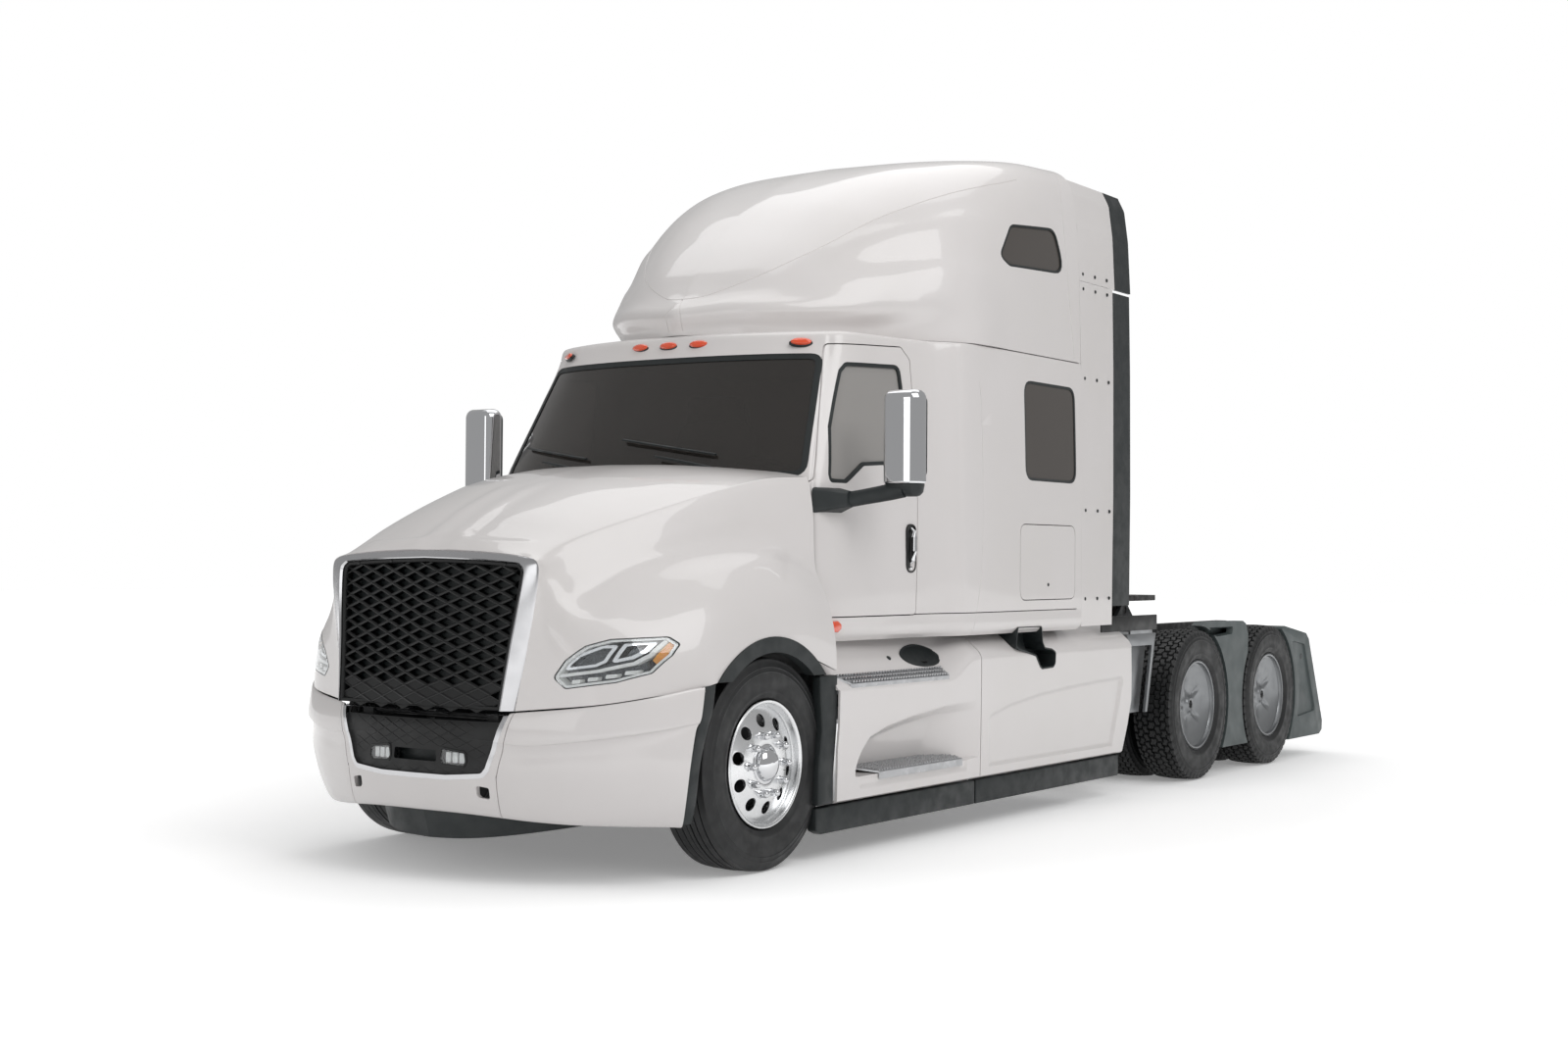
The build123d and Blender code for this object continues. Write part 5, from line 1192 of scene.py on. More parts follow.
class TRACTOR_OT_bumper(bpy.types.Operator):
    """Build the front bumper with its intake, fog lamps and tow-hook holes"""
    bl_idname = "tractor.bumper"
    bl_label = "Front bumper"

    def execute(self, context):
        grid = surface_grid(BUMPER_LEVELS, 5, 6)
        skin = (grid, (3.3, 0.0, 0.55), ("t0",))
        intake = rounded(front_outline(mirrored(INTAKE)), 0.05)
        holes = [rounded(front_outline(TOW_HOLE), 0.012)]
        holes += [[(-y, z) for y, z in holes[0]]]
        seams = [[(0.462, 0.24), (0.466, 0.24), (0.512, 0.80), (0.508, 0.80)]]
        seams = [[(0.457, 0.24), (0.461, 0.24), (0.4655, 0.50), (0.4615, 0.50)],
                 [(0.4615, 0.49), (0.4655, 0.49), (0.547, 0.80), (0.543, 0.80)]]
        seams += [[(-y, z) for y, z in seam] for seam in seams]
        bumper = patch("bumper_shell", skin, 0.0, -0.022, (),
                       [along_x(shape, 3.95) for shape in [intake] + holes + seams])
        finish_piece(bumper, "chassis", "white_paint", ("front_bumper",))

        trim_inner = grown(intake, -0.022)
        trim = patch("intake_trim", skin, 0.0008, -0.02, [along_x(intake)],
                     [along_x(trim_inner), along_x([(-0.6, 0.77), (0.6, 0.77), (0.6, 0.9), (-0.6, 0.9)])])
        finish_piece(trim, "chassis", "bright_trim")

        fog = rounded(front_outline(FOG_LAMP), 0.014)
        fogs = [fog, [(-y, z) for y, z in fog]]
        recess = rounded(front_outline(mirrored(RECESS[1:3])), 0.012)
        top_cut = [(-0.6, 0.738), (0.6, 0.738), (0.6, 0.9), (-0.6, 0.9)]
        panel = patch("intake_panel", skin, -0.014, -0.03, [along_x(grown(intake, -0.0215))],
                      [along_x(shape) for shape in fogs + [recess, top_cut]])
        finish_piece(panel, "chassis", "black_grille", ("lower_trims",))
        plan = smooth_through(np.array([(point[0], point[1]) for point in BUMPER_LEVELS[5]], float), 6)

        def panel_face(y, z, forward=0.0):
            level = np.interp(abs(y) * 1000, plan[:, 1], plan[:, 0])
            return (FRONT_AXLE - level / 1000 - 0.016 + forward, y, z)

        def ridge_face(y, z, forward=0.0):
            return panel_face(y, z, forward)

        field = grown(intake, -0.034)
        ridges = []
        for y0, z0, y1, z1 in diamond_lines(0.1, 0.046, (0.5, 0.73)):
            middle = ((y0 + y1) / 2, (z0 + z1) / 2)
            blocked = [grown(shape, 0.012) for shape in fogs + [recess]]
            if not inside_outline(*middle, field) or middle[1] > 0.725:
                continue
            if any(inside_outline(*middle, shape) for shape in blocked):
                continue
            ridges.append(tube([ridge_face(y0, z0), ridge_face(y1, z1)], 0.0035, 6))
        made("intake_ridges", ridges, "chassis", "black_grille")
        pockets = [block((4.26, 4.268), (-0.16, 0.16), (0.53, 0.615))]
        frames, lenses, lights = [], [], []
        for shape in fogs:
            rings = [[panel_face(y, z, depth) for y, z in ring]
                     for ring, depth in ((grown(shape, 0.006), 0.0), (grown(shape, 0.004), 0.006),
                                         (grown(shape, -0.006), 0.006), (grown(shape, -0.012), -0.02),
                                         (grown(shape, 0.006), -0.02))]
            frames.append(ring_band(rings))
            lenses.append(loft([[panel_face(y, z, depth) for y, z in grown(shape, -0.005)]
                                for depth in (-0.002, 0.003)]))
            pockets.append(loft([[panel_face(y, z, depth) for y, z in shape]
                                 for depth in (-0.045, -0.04)]))
            middle = sum(y for y, z in shape) / len(shape)
            for k in (-1, 0, 1):
                y = middle + k * 0.038
                bar = [(y - 0.014, 0.545), (y + 0.014, 0.545), (y + 0.016, 0.592), (y - 0.012, 0.592)]
                lights.append(loft([[panel_face(a, b, depth) for a, b in rounded(bar, 0.004, 2)]
                                    for depth in (-0.034, -0.014)]))
        made("fog_lamp_frames", frames, "chassis", "black_grille")
        made("fog_lamp_pockets", pockets, "chassis", "dark_plastic")
        made("fog_lamp_lenses", lenses, "chassis", "lamp_lens")
        made("fog_lamp_lights", lights, "chassis", "lamp_white")
        dam_line = [(FRONT_AXLE + 1.095, 0.0), (FRONT_AXLE + 1.065, 0.21), (FRONT_AXLE + 0.98, 0.37),
                    (FRONT_AXLE + 0.85, 0.49), (FRONT_AXLE + 0.70, 0.57), (FRONT_AXLE + 0.55, 0.61)]
        dam_line = smooth_through(np.array(dam_line), 6).tolist()
        sheet = []
        for sign in (1, -1):
            rings = []
            for drop, back in ((0.335, 0.0), (0.335, -0.03), (0.19, -0.075), (0.185, -0.045)):
                rings.append([(x + back, sign * y, drop + 0.06 * (y / 0.61) ** 2 * (0.335 - drop) / 0.15)
                              for x, y in dam_line])
            sheet.append(ring_band(rings, closed=False))
        made("air_dam_sheet", sheet, "chassis", "dark_plastic")
        return {"FINISHED"}


def diamond_lines(width, height, levels):
    """The edges of diamonds side by side, as (y, z, y, z)."""
    lines = []
    rows = int((levels[1] - levels[0]) / height * 2) + 2
    for row in range(rows):
        z = levels[0] + row * height / 2
        for column in range(-12, 13):
            y = (column + 0.5 * (row % 2)) * width / 1.0
            lines.append((y, z, y + width / 2, z + height / 2))
            lines.append((y, z, y - width / 2, z + height / 2))
    return lines


class TRACTOR_OT_headlamps(bpy.types.Operator):
    """Build the headlamps: lens, bezel, reflectors, light line and amber corner"""
    bl_idname = "tractor.headlamps"
    bl_label = "Headlamps"

    def execute(self, context):
        skin = (surface_grid(HOOD_SECTIONS, *HOOD_STEPS), (3.2, 0.0, 0.9), ("t0",))
        lamp = rounded(front_outline(LAMP_OUTLINE), 0.022)
        parts = (
            # name, depths, kept outline, removed outline, material, slot
            ("lamp_gasket", 0.0, -0.02, lamp, grown(lamp, -0.004), "dark_plastic", "dark_plastic"),
            ("lamp_bezel", -0.004, -0.05, grown(lamp, -0.0045), grown(lamp, -0.0045 - LAMP_BEZEL),
             "lamp_white", "bright_trim"),
            # the lamp backs' dark metallised grey is partly painted shade for the inside of the lamp
            ("lamp_backs", -0.055, -0.06, grown(lamp, -0.002), None, "lamp_painted_shade", "bright_trim"),
            ("lamp_lenses", 0.0015, -0.0025, grown(lamp, -0.004), None, "lamp_lens", "lamp_lens"),
        )
        for name, outer, inner, keep, remove, material, slot in parts:
            piece = patch(name, skin, outer, inner, two_sided([along_x(keep)]),
                          two_sided([along_x(remove)]) if remove else ())
            replaces = ("headlamps",) if name == "lamp_lenses" else ()
            finish_piece(piece, "hood", material, replaces)
        fills = (
            ("lamp_amber", -0.012, -0.03, [(1044, 1020), (1066, 990), (1096, 1042), (1102, 1096),
                                           (1074, 1112)], "signal_amber", "amber_lens"),
            ("lamp_light_line", -0.010, -0.032, [(720, 942), (880, 966), (1000, 1000), (1042, 1038),
                                                 (1070, 1108), (1056, 1108), (1030, 1048),
                                                 (992, 1014), (878, 980), (724, 956)], "lamp_white",
             "bright_trim"),
        )
        for name, outer, inner, shape, material, slot in fills:
            piece = patch(name, skin, outer, inner,
                          two_sided([along_x(rounded(front_outline(shape), 0.004, 3))]))
            finish_piece(piece, "hood", material)
        bowls = (
            [(744, 974), (868, 992), (902, 1012), (932, 1088), (880, 1086), (800, 1044), (760, 1004)],
            [(916, 1006), (985, 1026), (1020, 1056), (1040, 1104), (1000, 1106), (944, 1094)],
        )
        for k, shape in enumerate(bowls):
            rim = rounded(front_outline(shape), 0.012)
            piece = patch(f"lamp_reflector_{k + 1}", skin, -0.02, -0.052,
                          two_sided([along_x(rim)]),
                          two_sided([cone_x(grown(rim, -0.006), grown(rim, -0.024))]))
            finish_piece(piece, "hood", "chrome")
        dots = []
        for y, z in ((0.790, 0.925), (0.855, 0.937), (0.920, 0.950), (0.982, 0.966)):
            ring = rounded([(y - 0.018, z - 0.011), (y + 0.018, z - 0.007), (y + 0.022, z + 0.011),
                            (y - 0.014, z + 0.007)], 0.005, 3)
            dots.append(ring)
        piece = patch("lamp_led_row", skin, -0.018, -0.045, two_sided([along_x(ring) for ring in dots]))
        finish_piece(piece, "hood", "lamp_white")
        return {"FINISHED"}


def cone_x(wide, narrow):
    """A form that narrows from one outline in front to another behind."""
    return loft([[(4.35, y, z) for y, z in wide], [(3.6, y, z) for y, z in narrow]])



TYRE_HALF_WIDTH = 142
TYRE_PLACES = {"front": ((1028.5,), 3.180), "mid": ((1084.5, 750.5), -1.890),
               "rear": ((1084.5, 750.5), -3.210)}
SIDEWALL = ((300, 96), (303, 112), (312, 124), (330, 132), (332, 134), (345, 137), (348, 136),
            (380, 141), (405, 142), (432, 140), (434, 141.5), (437, 141.5), (439, 139.5),
            (455, 136), (457, 137), (460, 136.5), (462, 134.5), (476, 130), (486, 125.5))
RIBS = ((14, 34), (46, 74), (86, 121))      # each rib of a steer tyre, in mm from its middle
BLOCK_EDGES = (0, 20, 28, 58, 67, 96, 104, 126)


def steer_tyre_profile():
    """Half the section of a ribbed tyre, from the tread's middle to the bead."""
    half = [(507, 0), (507, 6)]
    half = [(507.0, 0.0)]
    last = 8
    half.append((507, 9))
    for start, end in RIBS:
        half += [(504.5, start - 4.5), (493, start - 3), (493, start), (504.5 - start * 0.012, start + 1)]
        half.append((507 - (end / 126) ** 2 * 7, end))
    half += [(497.5, 124), (492, 126)]
    return half + [point for point in reversed(SIDEWALL)]


def full_section(half, middle):
    """A closed section (r, y) in metres from its half, about a middle plane."""
    right = [(r, middle + y) for r, y in half]
    left = [(r, middle - y) for r, y in reversed(half[1:])]
    return [(r / 1000, y / 1000) for r, y in right + left]


def drive_tyre(middle, centre, sign, pitches=54, parts=6):
    """A tyre whose tread is cut into rows of staggered blocks by zigzag grooves."""
    columns = []
    half = []
    for i, (start, end) in enumerate(zip(BLOCK_EDGES[:-1], BLOCK_EDGES[1:])):
        groove = i % 2 == 1
        half.append((start + 1.5, groove, i))
        half.append((end - 1.5, groove, i))
    tread = [(-y, groove, -i - 1) for y, groove, i in reversed(half)] + half
    side = [(r, y) for r, y in reversed(SIDEWALL)]
    verts, rows = [], []
    steps = pitches * parts
    for k in range(steps):
        turn = 2 * math.pi * k / steps
        ring = []
        for r, y in reversed(side):
            lug = 3.0 if r > 470 and k % parts in (0, 1) else 0.0
            ring.append((r - lug, -y + (lug if r > 470 else 0)))
        for y, groove, row in tread:
            crown = 507 - (abs(y) / 126) ** 2 * 8
            zigzag = (4.5 if (k % parts) < parts / 2 else -4.5) if 10 < abs(y) < 110 else 0.0
            across = (k + (3 if row % 4 in (0, 3) else 0)) % parts == 0 and not groove
            ring.append((crown - (15 if groove else 0) - (11 if across else 0), y + zigzag))
        for r, y in side:
            lug = 3.0 if r > 470 and k % parts in (0, 1) else 0.0
            ring.append((r - lug, y - (lug if r > 470 else 0)))
        for r, y in ring:
            verts.append((centre[0] + r / 1000 * math.cos(turn),
                          sign * (middle + y) / 1000, centre[1] + r / 1000 * math.sin(turn)))
        rows.append(len(ring))
    count = rows[0]
    faces = []
    for k in range(steps):
        near, far = k * count, (k + 1) % steps * count
        for i in range(count):
            j = (i + 1) % count
            faces.append((near + i, far + i, far + j, near + j))
    return verts, faces


def cylinder_y(centre, radius, low, high, sides=32):
    """A round bar across the tractor, at (x, z)."""
    ring = [(centre[0] + radius * math.cos(a), centre[1] + radius * math.sin(a))
            for a in np.linspace(0, 2 * math.pi, sides, endpoint=False)]
    return prism_data(ring, "y", low, high)


class TRACTOR_OT_tyres(bpy.types.Operator):
    """Build the ribbed steer tyres and the block-tread drive tyres"""
    bl_idname = "tractor.tyres"
    bl_label = "Tyres"

    def execute(self, context):
        for side, sign in SIDES:
            section = full_section(steer_tyre_profile(), TYRE_PLACES["front"][0][0])
            made(f"steer_tyre_{side}", [lathe(section, (FRONT_AXLE, 0, HUB), 144, sign)],
                 f"front_wheel_{side}", "tyre_rubber", (f"tyre_front_{side}",))
            for axle, x in AXLES:
                outer, inner = TYRE_PLACES[axle][0]
                parts = [drive_tyre(outer, (x, HUB), sign), drive_tyre(inner, (x, HUB), sign, parts=4)]
                made(f"drive_tyres_{axle}_{side}", parts, f"{axle}_wheels_{side}", "tyre_rubber",
                     (f"tyres_{axle}_{side}",))
        return {"FINISHED"}


RIM = [(300, 122), (303, 127), (300, 131), (292, 131), (286, 127), (283, 118), (280, 96), (276, 92),
       (274, 60), (262, 40), (262, -110), (284, -122), (290, -131), (300, -131), (303, -127),
       (300, -122), (292, -112), (270, -100), (270, 36), (284, 56), (286, 100)]
STEER_DISC = [(276, 88), (268, 90), (262, 94), (240, 100), (205, 112), (185, 121), (178, 124),
              (118, 128), (96, 128), (92, 96), (120, 112), (175, 106), (205, 98), (245, 84), (268, 72),
              (276, 70)]
HUB_CAP = [(0.1, 176), (22, 175), (44, 170), (62, 161), (74, 149), (79, 140), (81, 128), (94, 126),
           (94, 90), (0.1, 90)]
NUT_RING = 0.143
NUTS = 10


def nut_cover(centre, base, height, radius, sign):
    """A chrome cover over a wheel nut: flanged foot, straight body, domed end."""
    profile = [(0.0001, base), (radius * 1.22, base), (radius * 1.22, base + 0.004),
               (radius, base + 0.008), (radius * 0.97, base + height * 0.7),
               (radius * 0.8, base + height * 0.9), (radius * 0.4, base + height),
               (0.0001, base + height)]
    return lathe(profile, (centre[0], 0, centre[1]), 20, sign)


class TRACTOR_OT_wheels(bpy.types.Operator):
    """Build the steer wheels with their hub caps and the drive wheels with their covers"""
    bl_idname = "tractor.wheels"
    bl_label = "Wheels"

    def execute(self, context):
        for side, sign in SIDES:
            body = f"front_wheel_{side}"
            middle = TYRE_PLACES["front"][0][0]
            hub = (FRONT_AXLE, 0, HUB)
            rim = lathe([(r / 1000, (middle + y) / 1000) for r, y in RIM], hub, 128, sign)
            made(f"steer_rim_{side}", [rim], body, "wheel_aluminium",
                 (f"wheel_front_{side}",))
            disc = new_piece(f"steer_disc_{side}",
                             *lathe([(r / 1000, (middle + y) / 1000) for r, y in STEER_DISC], hub, 160,
                                    sign))
            holes = [cylinder_y((FRONT_AXLE + 0.208 * math.cos(a), HUB + 0.208 * math.sin(a)), 0.0315,
                                0.9 * sign, 1.3 * sign)
                     for a in np.linspace(0, 2 * math.pi, NUTS, endpoint=False) + 0.2]
            cut(disc, holes)
            bevelled(disc, 0.002, 2, 40)
            finish_piece(disc, body, "wheel_aluminium")
            cap = lathe([(r / 1000, (middle + y) / 1000) for r, y in HUB_CAP], hub, 96, sign)
            nuts = [nut_cover((FRONT_AXLE + NUT_RING * math.cos(a), HUB + NUT_RING * math.sin(a)),
                              1.151, 0.052, 0.0175, sign)
                    for a in np.linspace(0, 2 * math.pi, NUTS, endpoint=False)]
            made(f"hub_cap_{side}", [cap] + nuts, body, "chrome")
            drum = [(92, 20), (140, 18), (205, 10), (208, -110), (150, -118), (60, -118), (60, 20)]
            made(f"brake_drum_{side}", [lathe([(r / 1000, (middle + y) / 1000) for r, y in drum], hub, 64,
                                              sign)], body, "chassis_paint")
            for axle, x in AXLES:
                self.drive_wheels(axle, x, side, sign)
        return {"FINISHED"}

    def drive_wheels(self, axle, x, side, sign):
        body = f"{axle}_wheels_{side}"
        outer, inner = TYRE_PLACES[axle][0]
        hub = (x, 0, HUB)
        rims = [lathe([(r / 1000, (outer + min(y, 120)) / 1000) for r, y in RIM], hub, 112, sign),
                lathe([(r / 1000, (inner + y) / 1000) for r, y in RIM], hub, 64, sign)]
        drum = [(60, -40), (205, -40), (205, -300), (60, -300)]
        made(f"drive_rims_{axle}_{side}", rims, body, "wheel_satin",
             (f"wheels_{axle}_{side}",))
        made(f"drive_drums_{axle}_{side}",
             [lathe([(r / 1000, (outer + y) / 1000) for r, y in drum], hub, 48, sign)], body,
             "chassis_paint")
        radii = [28, 40, 46, 52, 60, 72, 88, 104, 120, 136, 152, 168, 184, 200, 216, 232, 248, 262, 270,
                 275, 278]
        level = np.interp(radii, [28, 40, 46, 56, 72, 120, 200, 248, 262, 270, 278],
                          [70, 72, 68, 52, 46, 50, 66, 80, 86, 92, 94])
        steps = 160
        face, back = [], []
        verts = []
        for k in range(steps):
            turn = 2 * math.pi * k / steps
            wave = 2 * math.pi / 5
            off = abs((turn + wave / 2) % wave - wave / 2)
            for r, y in zip(radii, level):
                reach = math.exp(-((r - 128) / 44) ** 4)
                scoop = 12 * reach * math.exp(-(off * r / 20) ** 4)
                for depth in (0.0, 6.0):
                    verts.append((x + r / 1000 * math.cos(turn), sign * (outer + y - scoop - depth) / 1000,
                                  HUB + r / 1000 * math.sin(turn)))
        count = len(radii) * 2
        faces = []
        for k in range(steps):
            near, far = k * count, (k + 1) % steps * count
            for i in range(len(radii) - 1):
                a, b = 2 * i, 2 * i + 2
                faces.append((near + a, near + b, far + b, far + a))
                faces.append((far + a + 1, far + b + 1, near + b + 1, near + a + 1))
            faces.append((near, far, far + 1, near + 1))
            faces.append((near + count - 1, far + count - 1, far + count - 2, near + count - 2))
        made(f"drive_cover_{axle}_{side}", [(verts, faces)], body, "wheel_satin")
        cap = [(0.1, 64), (10, 64), (14, 68), (22, 69), (28, 66), (28, 40), (0.1, 40)]
        bolts = [dome((x + 0.02 * math.cos(a), sign * (outer + 69) / 1000, HUB + 0.02 * math.sin(a)),
                      (0, sign, 0), 0.004, 0.003, 8)
                 for a in np.linspace(0, 2 * math.pi, 6, endpoint=False)]
        made(f"drive_cap_{axle}_{side}",
             [lathe([(r / 1000, (outer + y) / 1000) for r, y in cap], hub, 40, sign)] + bolts, body,
             "black_grille")


MIRROR_BOTTOM = 1.853
MIRROR_TOP = 2.325
MIRROR_Y = (1.302, 1.523)
MIRROR_X = (2.300, 2.440)


def mirror_ring(z, inset, bulge=0.046):
    """The mirror head's outline at a height: flat behind, bowed in front."""
    x0, x1 = MIRROR_X[0] + inset, MIRROR_X[1] - inset - bulge
    y0, y1 = MIRROR_Y[0] + inset, MIRROR_Y[1] - inset
    corners = rounded([(x0, y0), (x1, y0), (x1, y1), (x0, y1)], 0.042, 8)
    middle, half = (y0 + y1) / 2, (y1 - y0) / 2
    ring = []
    for x, y in corners:
        share = (x - x0) / (x1 - x0)
        ring.append((x + bulge * share * max(0.0, 1 - ((y - middle) / half) ** 2), y, z))
    return ring


class TRACTOR_OT_mirrors(bpy.types.Operator):
    """Build the mirrors: chrome head, dark arm and glass; and the door handles"""
    bl_idname = "tractor.mirrors"
    bl_label = "Mirrors and door handles"

    def execute(self, context):
        tall = MIRROR_TOP - MIRROR_BOTTOM
        levels = ((0.0, 0.007), (0.003, 0.003), (0.009, 0.0), (0.012, 0.0), (0.018, 0.0),
                  (tall - 0.058, 0.0), (tall - 0.052, 0.0), (tall - 0.048, 0.0), (tall - 0.034, 0.002),
                  (tall - 0.020, 0.008), (tall - 0.009, 0.018), (tall - 0.002, 0.031), (tall, 0.042))
        head = loft([mirror_ring(MIRROR_BOTTOM + rise, inset) for rise, inset in levels])
        foot = loft([mirror_ring(z, inset) for z, inset in ((1.790, 0.042), (1.796, 0.026),
                                                            (1.812, 0.012), (1.8515, 0.005))])
        seam = loft([mirror_ring(z, 0.009) for z in (1.848, 1.858)])
        arm = tube([(2.385, 1.430, 1.824), (2.388, 1.360, 1.814), (2.410, 1.300, 1.802),
                    (2.440, 1.230, 1.788), (2.465, 1.180, 1.778), (2.480, 1.150, 1.774)],
                   [0.030, 0.032, 0.031, 0.030, 0.030, 0.031], 24, 1.32)
        rings = []
        for share in (0.0, 0.35, 0.7, 1.0):
            x0, x1 = 2.428 + 0.022 * share, 2.645 - 0.125 * share
            z0, z1 = 1.706 + 0.030 * share, 1.834 - 0.018 * share
            ring = rounded([(x0, z0), (x1, z0), (x1, z1), (x0, z1)], 0.022, 5)
            rings.append([(x, 1.095 - 0.20 * max(0.0, x - 2.43) * (1 - share) + 0.085 * share, z)
                          for x, z in ring])
        base = loft(rings)
        back = MIRROR_X[0]
        pane = [(y, z) for y, z in rounded([(1.322, 1.89), (1.503, 1.89), (1.503, 2.29), (1.322, 2.29)],
                                           0.03)]
        glass = prism_data(pane, "x", back - 0.0015, back + 0.0025)
        rim = ring_band([[(back + x, y, z) for y, z in grown(pane, out)]
                         for x, out in ((0.0015, 0.001), (-0.0035, 0.002), (-0.0035, 0.007),
                                        (0.0015, 0.010))])
        plate = rounded([(1.858, 1.406), (1.858, 1.664), (1.758, 1.664), (1.758, 1.406)], 0.048)
        inner = grown(plate, -0.008)
        skin_y = 1.128
        handle_plate = ring_band([[(x, skin_y + rise, z) for x, z in ring]
                                  for rise, ring in ((-0.004, plate), (0.006, plate),
                                                     (0.009, grown(plate, -0.003)),
                                                     (0.009, inner), (0.001, grown(inner, -0.002)),
                                                     (-0.004, grown(inner, -0.002)))])
        floor = prism_data(inner, "y", skin_y - 0.004, skin_y + 0.003)
        lock = lathe([(0.0001, skin_y), (0.011, skin_y), (0.011, skin_y + 0.008), (0.008, skin_y + 0.010),
                      (0.0001, skin_y + 0.010)], (1.810, 0, 1.432), 20)
        bar = tube([(1.804, skin_y + 0.002, 1.640), (1.805, skin_y + 0.018, 1.625),
                    (1.806, skin_y + 0.022, 1.595), (1.807, skin_y + 0.022, 1.520),
                    (1.808, skin_y + 0.018, 1.472), (1.808, skin_y + 0.002, 1.458)],
                   [0.012, 0.015, 0.016, 0.016, 0.015, 0.012], 16, 0.7)
        for side, sign in SIDES:
            body = f"door_{side}"
            put = (lambda parts: parts) if sign > 0 else (lambda parts: [flipped(p) for p in parts])
            made(f"mirror_head_{side}", put([head]), body, "chrome", (f"mirror_{side}",))
            made(f"mirror_arm_{side}", put([arm, base, foot, seam, rim]), body, "dark_plastic")
            made(f"mirror_glass_{side}", put([glass]), body, "chrome")
            made(f"door_handle_plate_{side}", put([handle_plate, floor]), body, "black_grille")
            made(f"door_handle_bar_{side}", put([bar, lock]), body, "chrome")
        return {"FINISHED"}


FAIRING_X = (-0.792, 1.184, 2.655)       # rear end, joint and front end of the side fairings
SCOOP_TOP = ((0.70, 450), (0.76, 520), (0.84, 584), (1.0, 625), (1.254, 662), (1.6, 694), (1.98, 706))
SCULPT_TOP = ((2.09, 610), (2.35, 664), (2.7, 703), (3.1, 728), (3.5, 744), (3.84, 752))
DECK_FRONT = ((1000, 1100), (1030, 1040), (1060, 995), (1100, 955), (1140, 915), (1180, 880),
              (1203, 858), (1218, 835))
DECK_REAR = ((1000, 1100), (1030, 1085), (1060, 1070), (1100, 1050), (1140, 1022), (1180, 990),
             (1203, 966), (1218, 940))


def deck_line(aft):
    """The deck's (y, z) places in metres, from under the cab out to the shoulder."""
    share = min(1.0, max(0.0, (aft - 1.65) / 0.3))
    share = share * share * (3 - 2 * share)
    line = np.array(DECK_FRONT, float) * (1 - share) + np.array(DECK_REAR, float) * share
    return smooth_through(line / 1000, 3)


def fairing_side(aft, z):
    """How far the fairing's outer face lies below its flat, in metres."""
    depth = 0.0
    top = np.interp(aft, [p[0] for p in SCOOP_TOP], [p[1] for p in SCOOP_TOP])
    if 0.70 < aft < 2.0:
        ledge = 392
        if ledge < z * 1000 < top:
            near = min(1.0, (top - z * 1000) / 45)
            fade = 1.0 if aft < 1.55 else max(0.0, (1.98 - aft) / 0.43)
            front = min(1.0, (aft - 0.70) / 0.12)
            down = 0.35 + 0.65 * min(1.0, (top - z * 1000) / max(60.0, top - ledge))
            depth = 0.150 * near * fade * front * down
        elif 330 < z * 1000 <= ledge and 0.75 < aft < 1.84:
            depth = 0.010 * min(1.0, (ledge - z * 1000 + 4) / 10) * min(1.0, (z * 1000 - 330) / 14)
    if 2.1 < aft < 3.86:
        top = np.interp(aft, [p[0] for p in SCULPT_TOP], [p[1] for p in SCULPT_TOP])
        rear = 3.84 - 0.15 * (752 - z * 1000) / 420
        if 330 < z * 1000 < top and aft < rear:
            depth = 0.012 * min(1.0, (top - z * 1000) / 16, (z * 1000 - 330) / 12, (rear - aft) / 0.012,
                                (aft - 2.1) / 0.02 + 0.2)
    return depth


def fairing_panel(name, start, end, steps):
    """A fairing panel from its deck under the cab down its side, between two distances aft."""
    grid = []
    for aft in np.linspace(start, end, steps):
        deck = deck_line(aft)
        row = [(FRONT_AXLE - aft, y, z) for y, z in deck]
        top = deck[-1][1] - 0.008
        for z in np.linspace(top, 0.285, 74):
            if end > 3:
                edge = np.interp(z, [0.285, 0.45, 0.60, 0.76, 0.905], [3.845, 3.92, 3.97, 3.972, 3.965])
                here = start + (edge - start) * (aft - start) / (end - start)
            else:
                lip = np.interp(z, [0.285, 0.42, 0.65, 0.905], [0.515, 0.515, 0.545, 0.55])
                here = max(aft, lip)
            lean = 0.006 * ((top - z) / 0.62) ** 2
            row.append((FRONT_AXLE - here, 1.2195 - lean - fairing_side(here, z), z))
        row.append((FRONT_AXLE - here, 1.200, 0.276))
        row.append((FRONT_AXLE - here, 1.175, 0.272))
        grid.append(row)
    return shell(name, np.array(grid), (1.0, 0.5, 0.6), 0.0, -0.012, (), both=False)


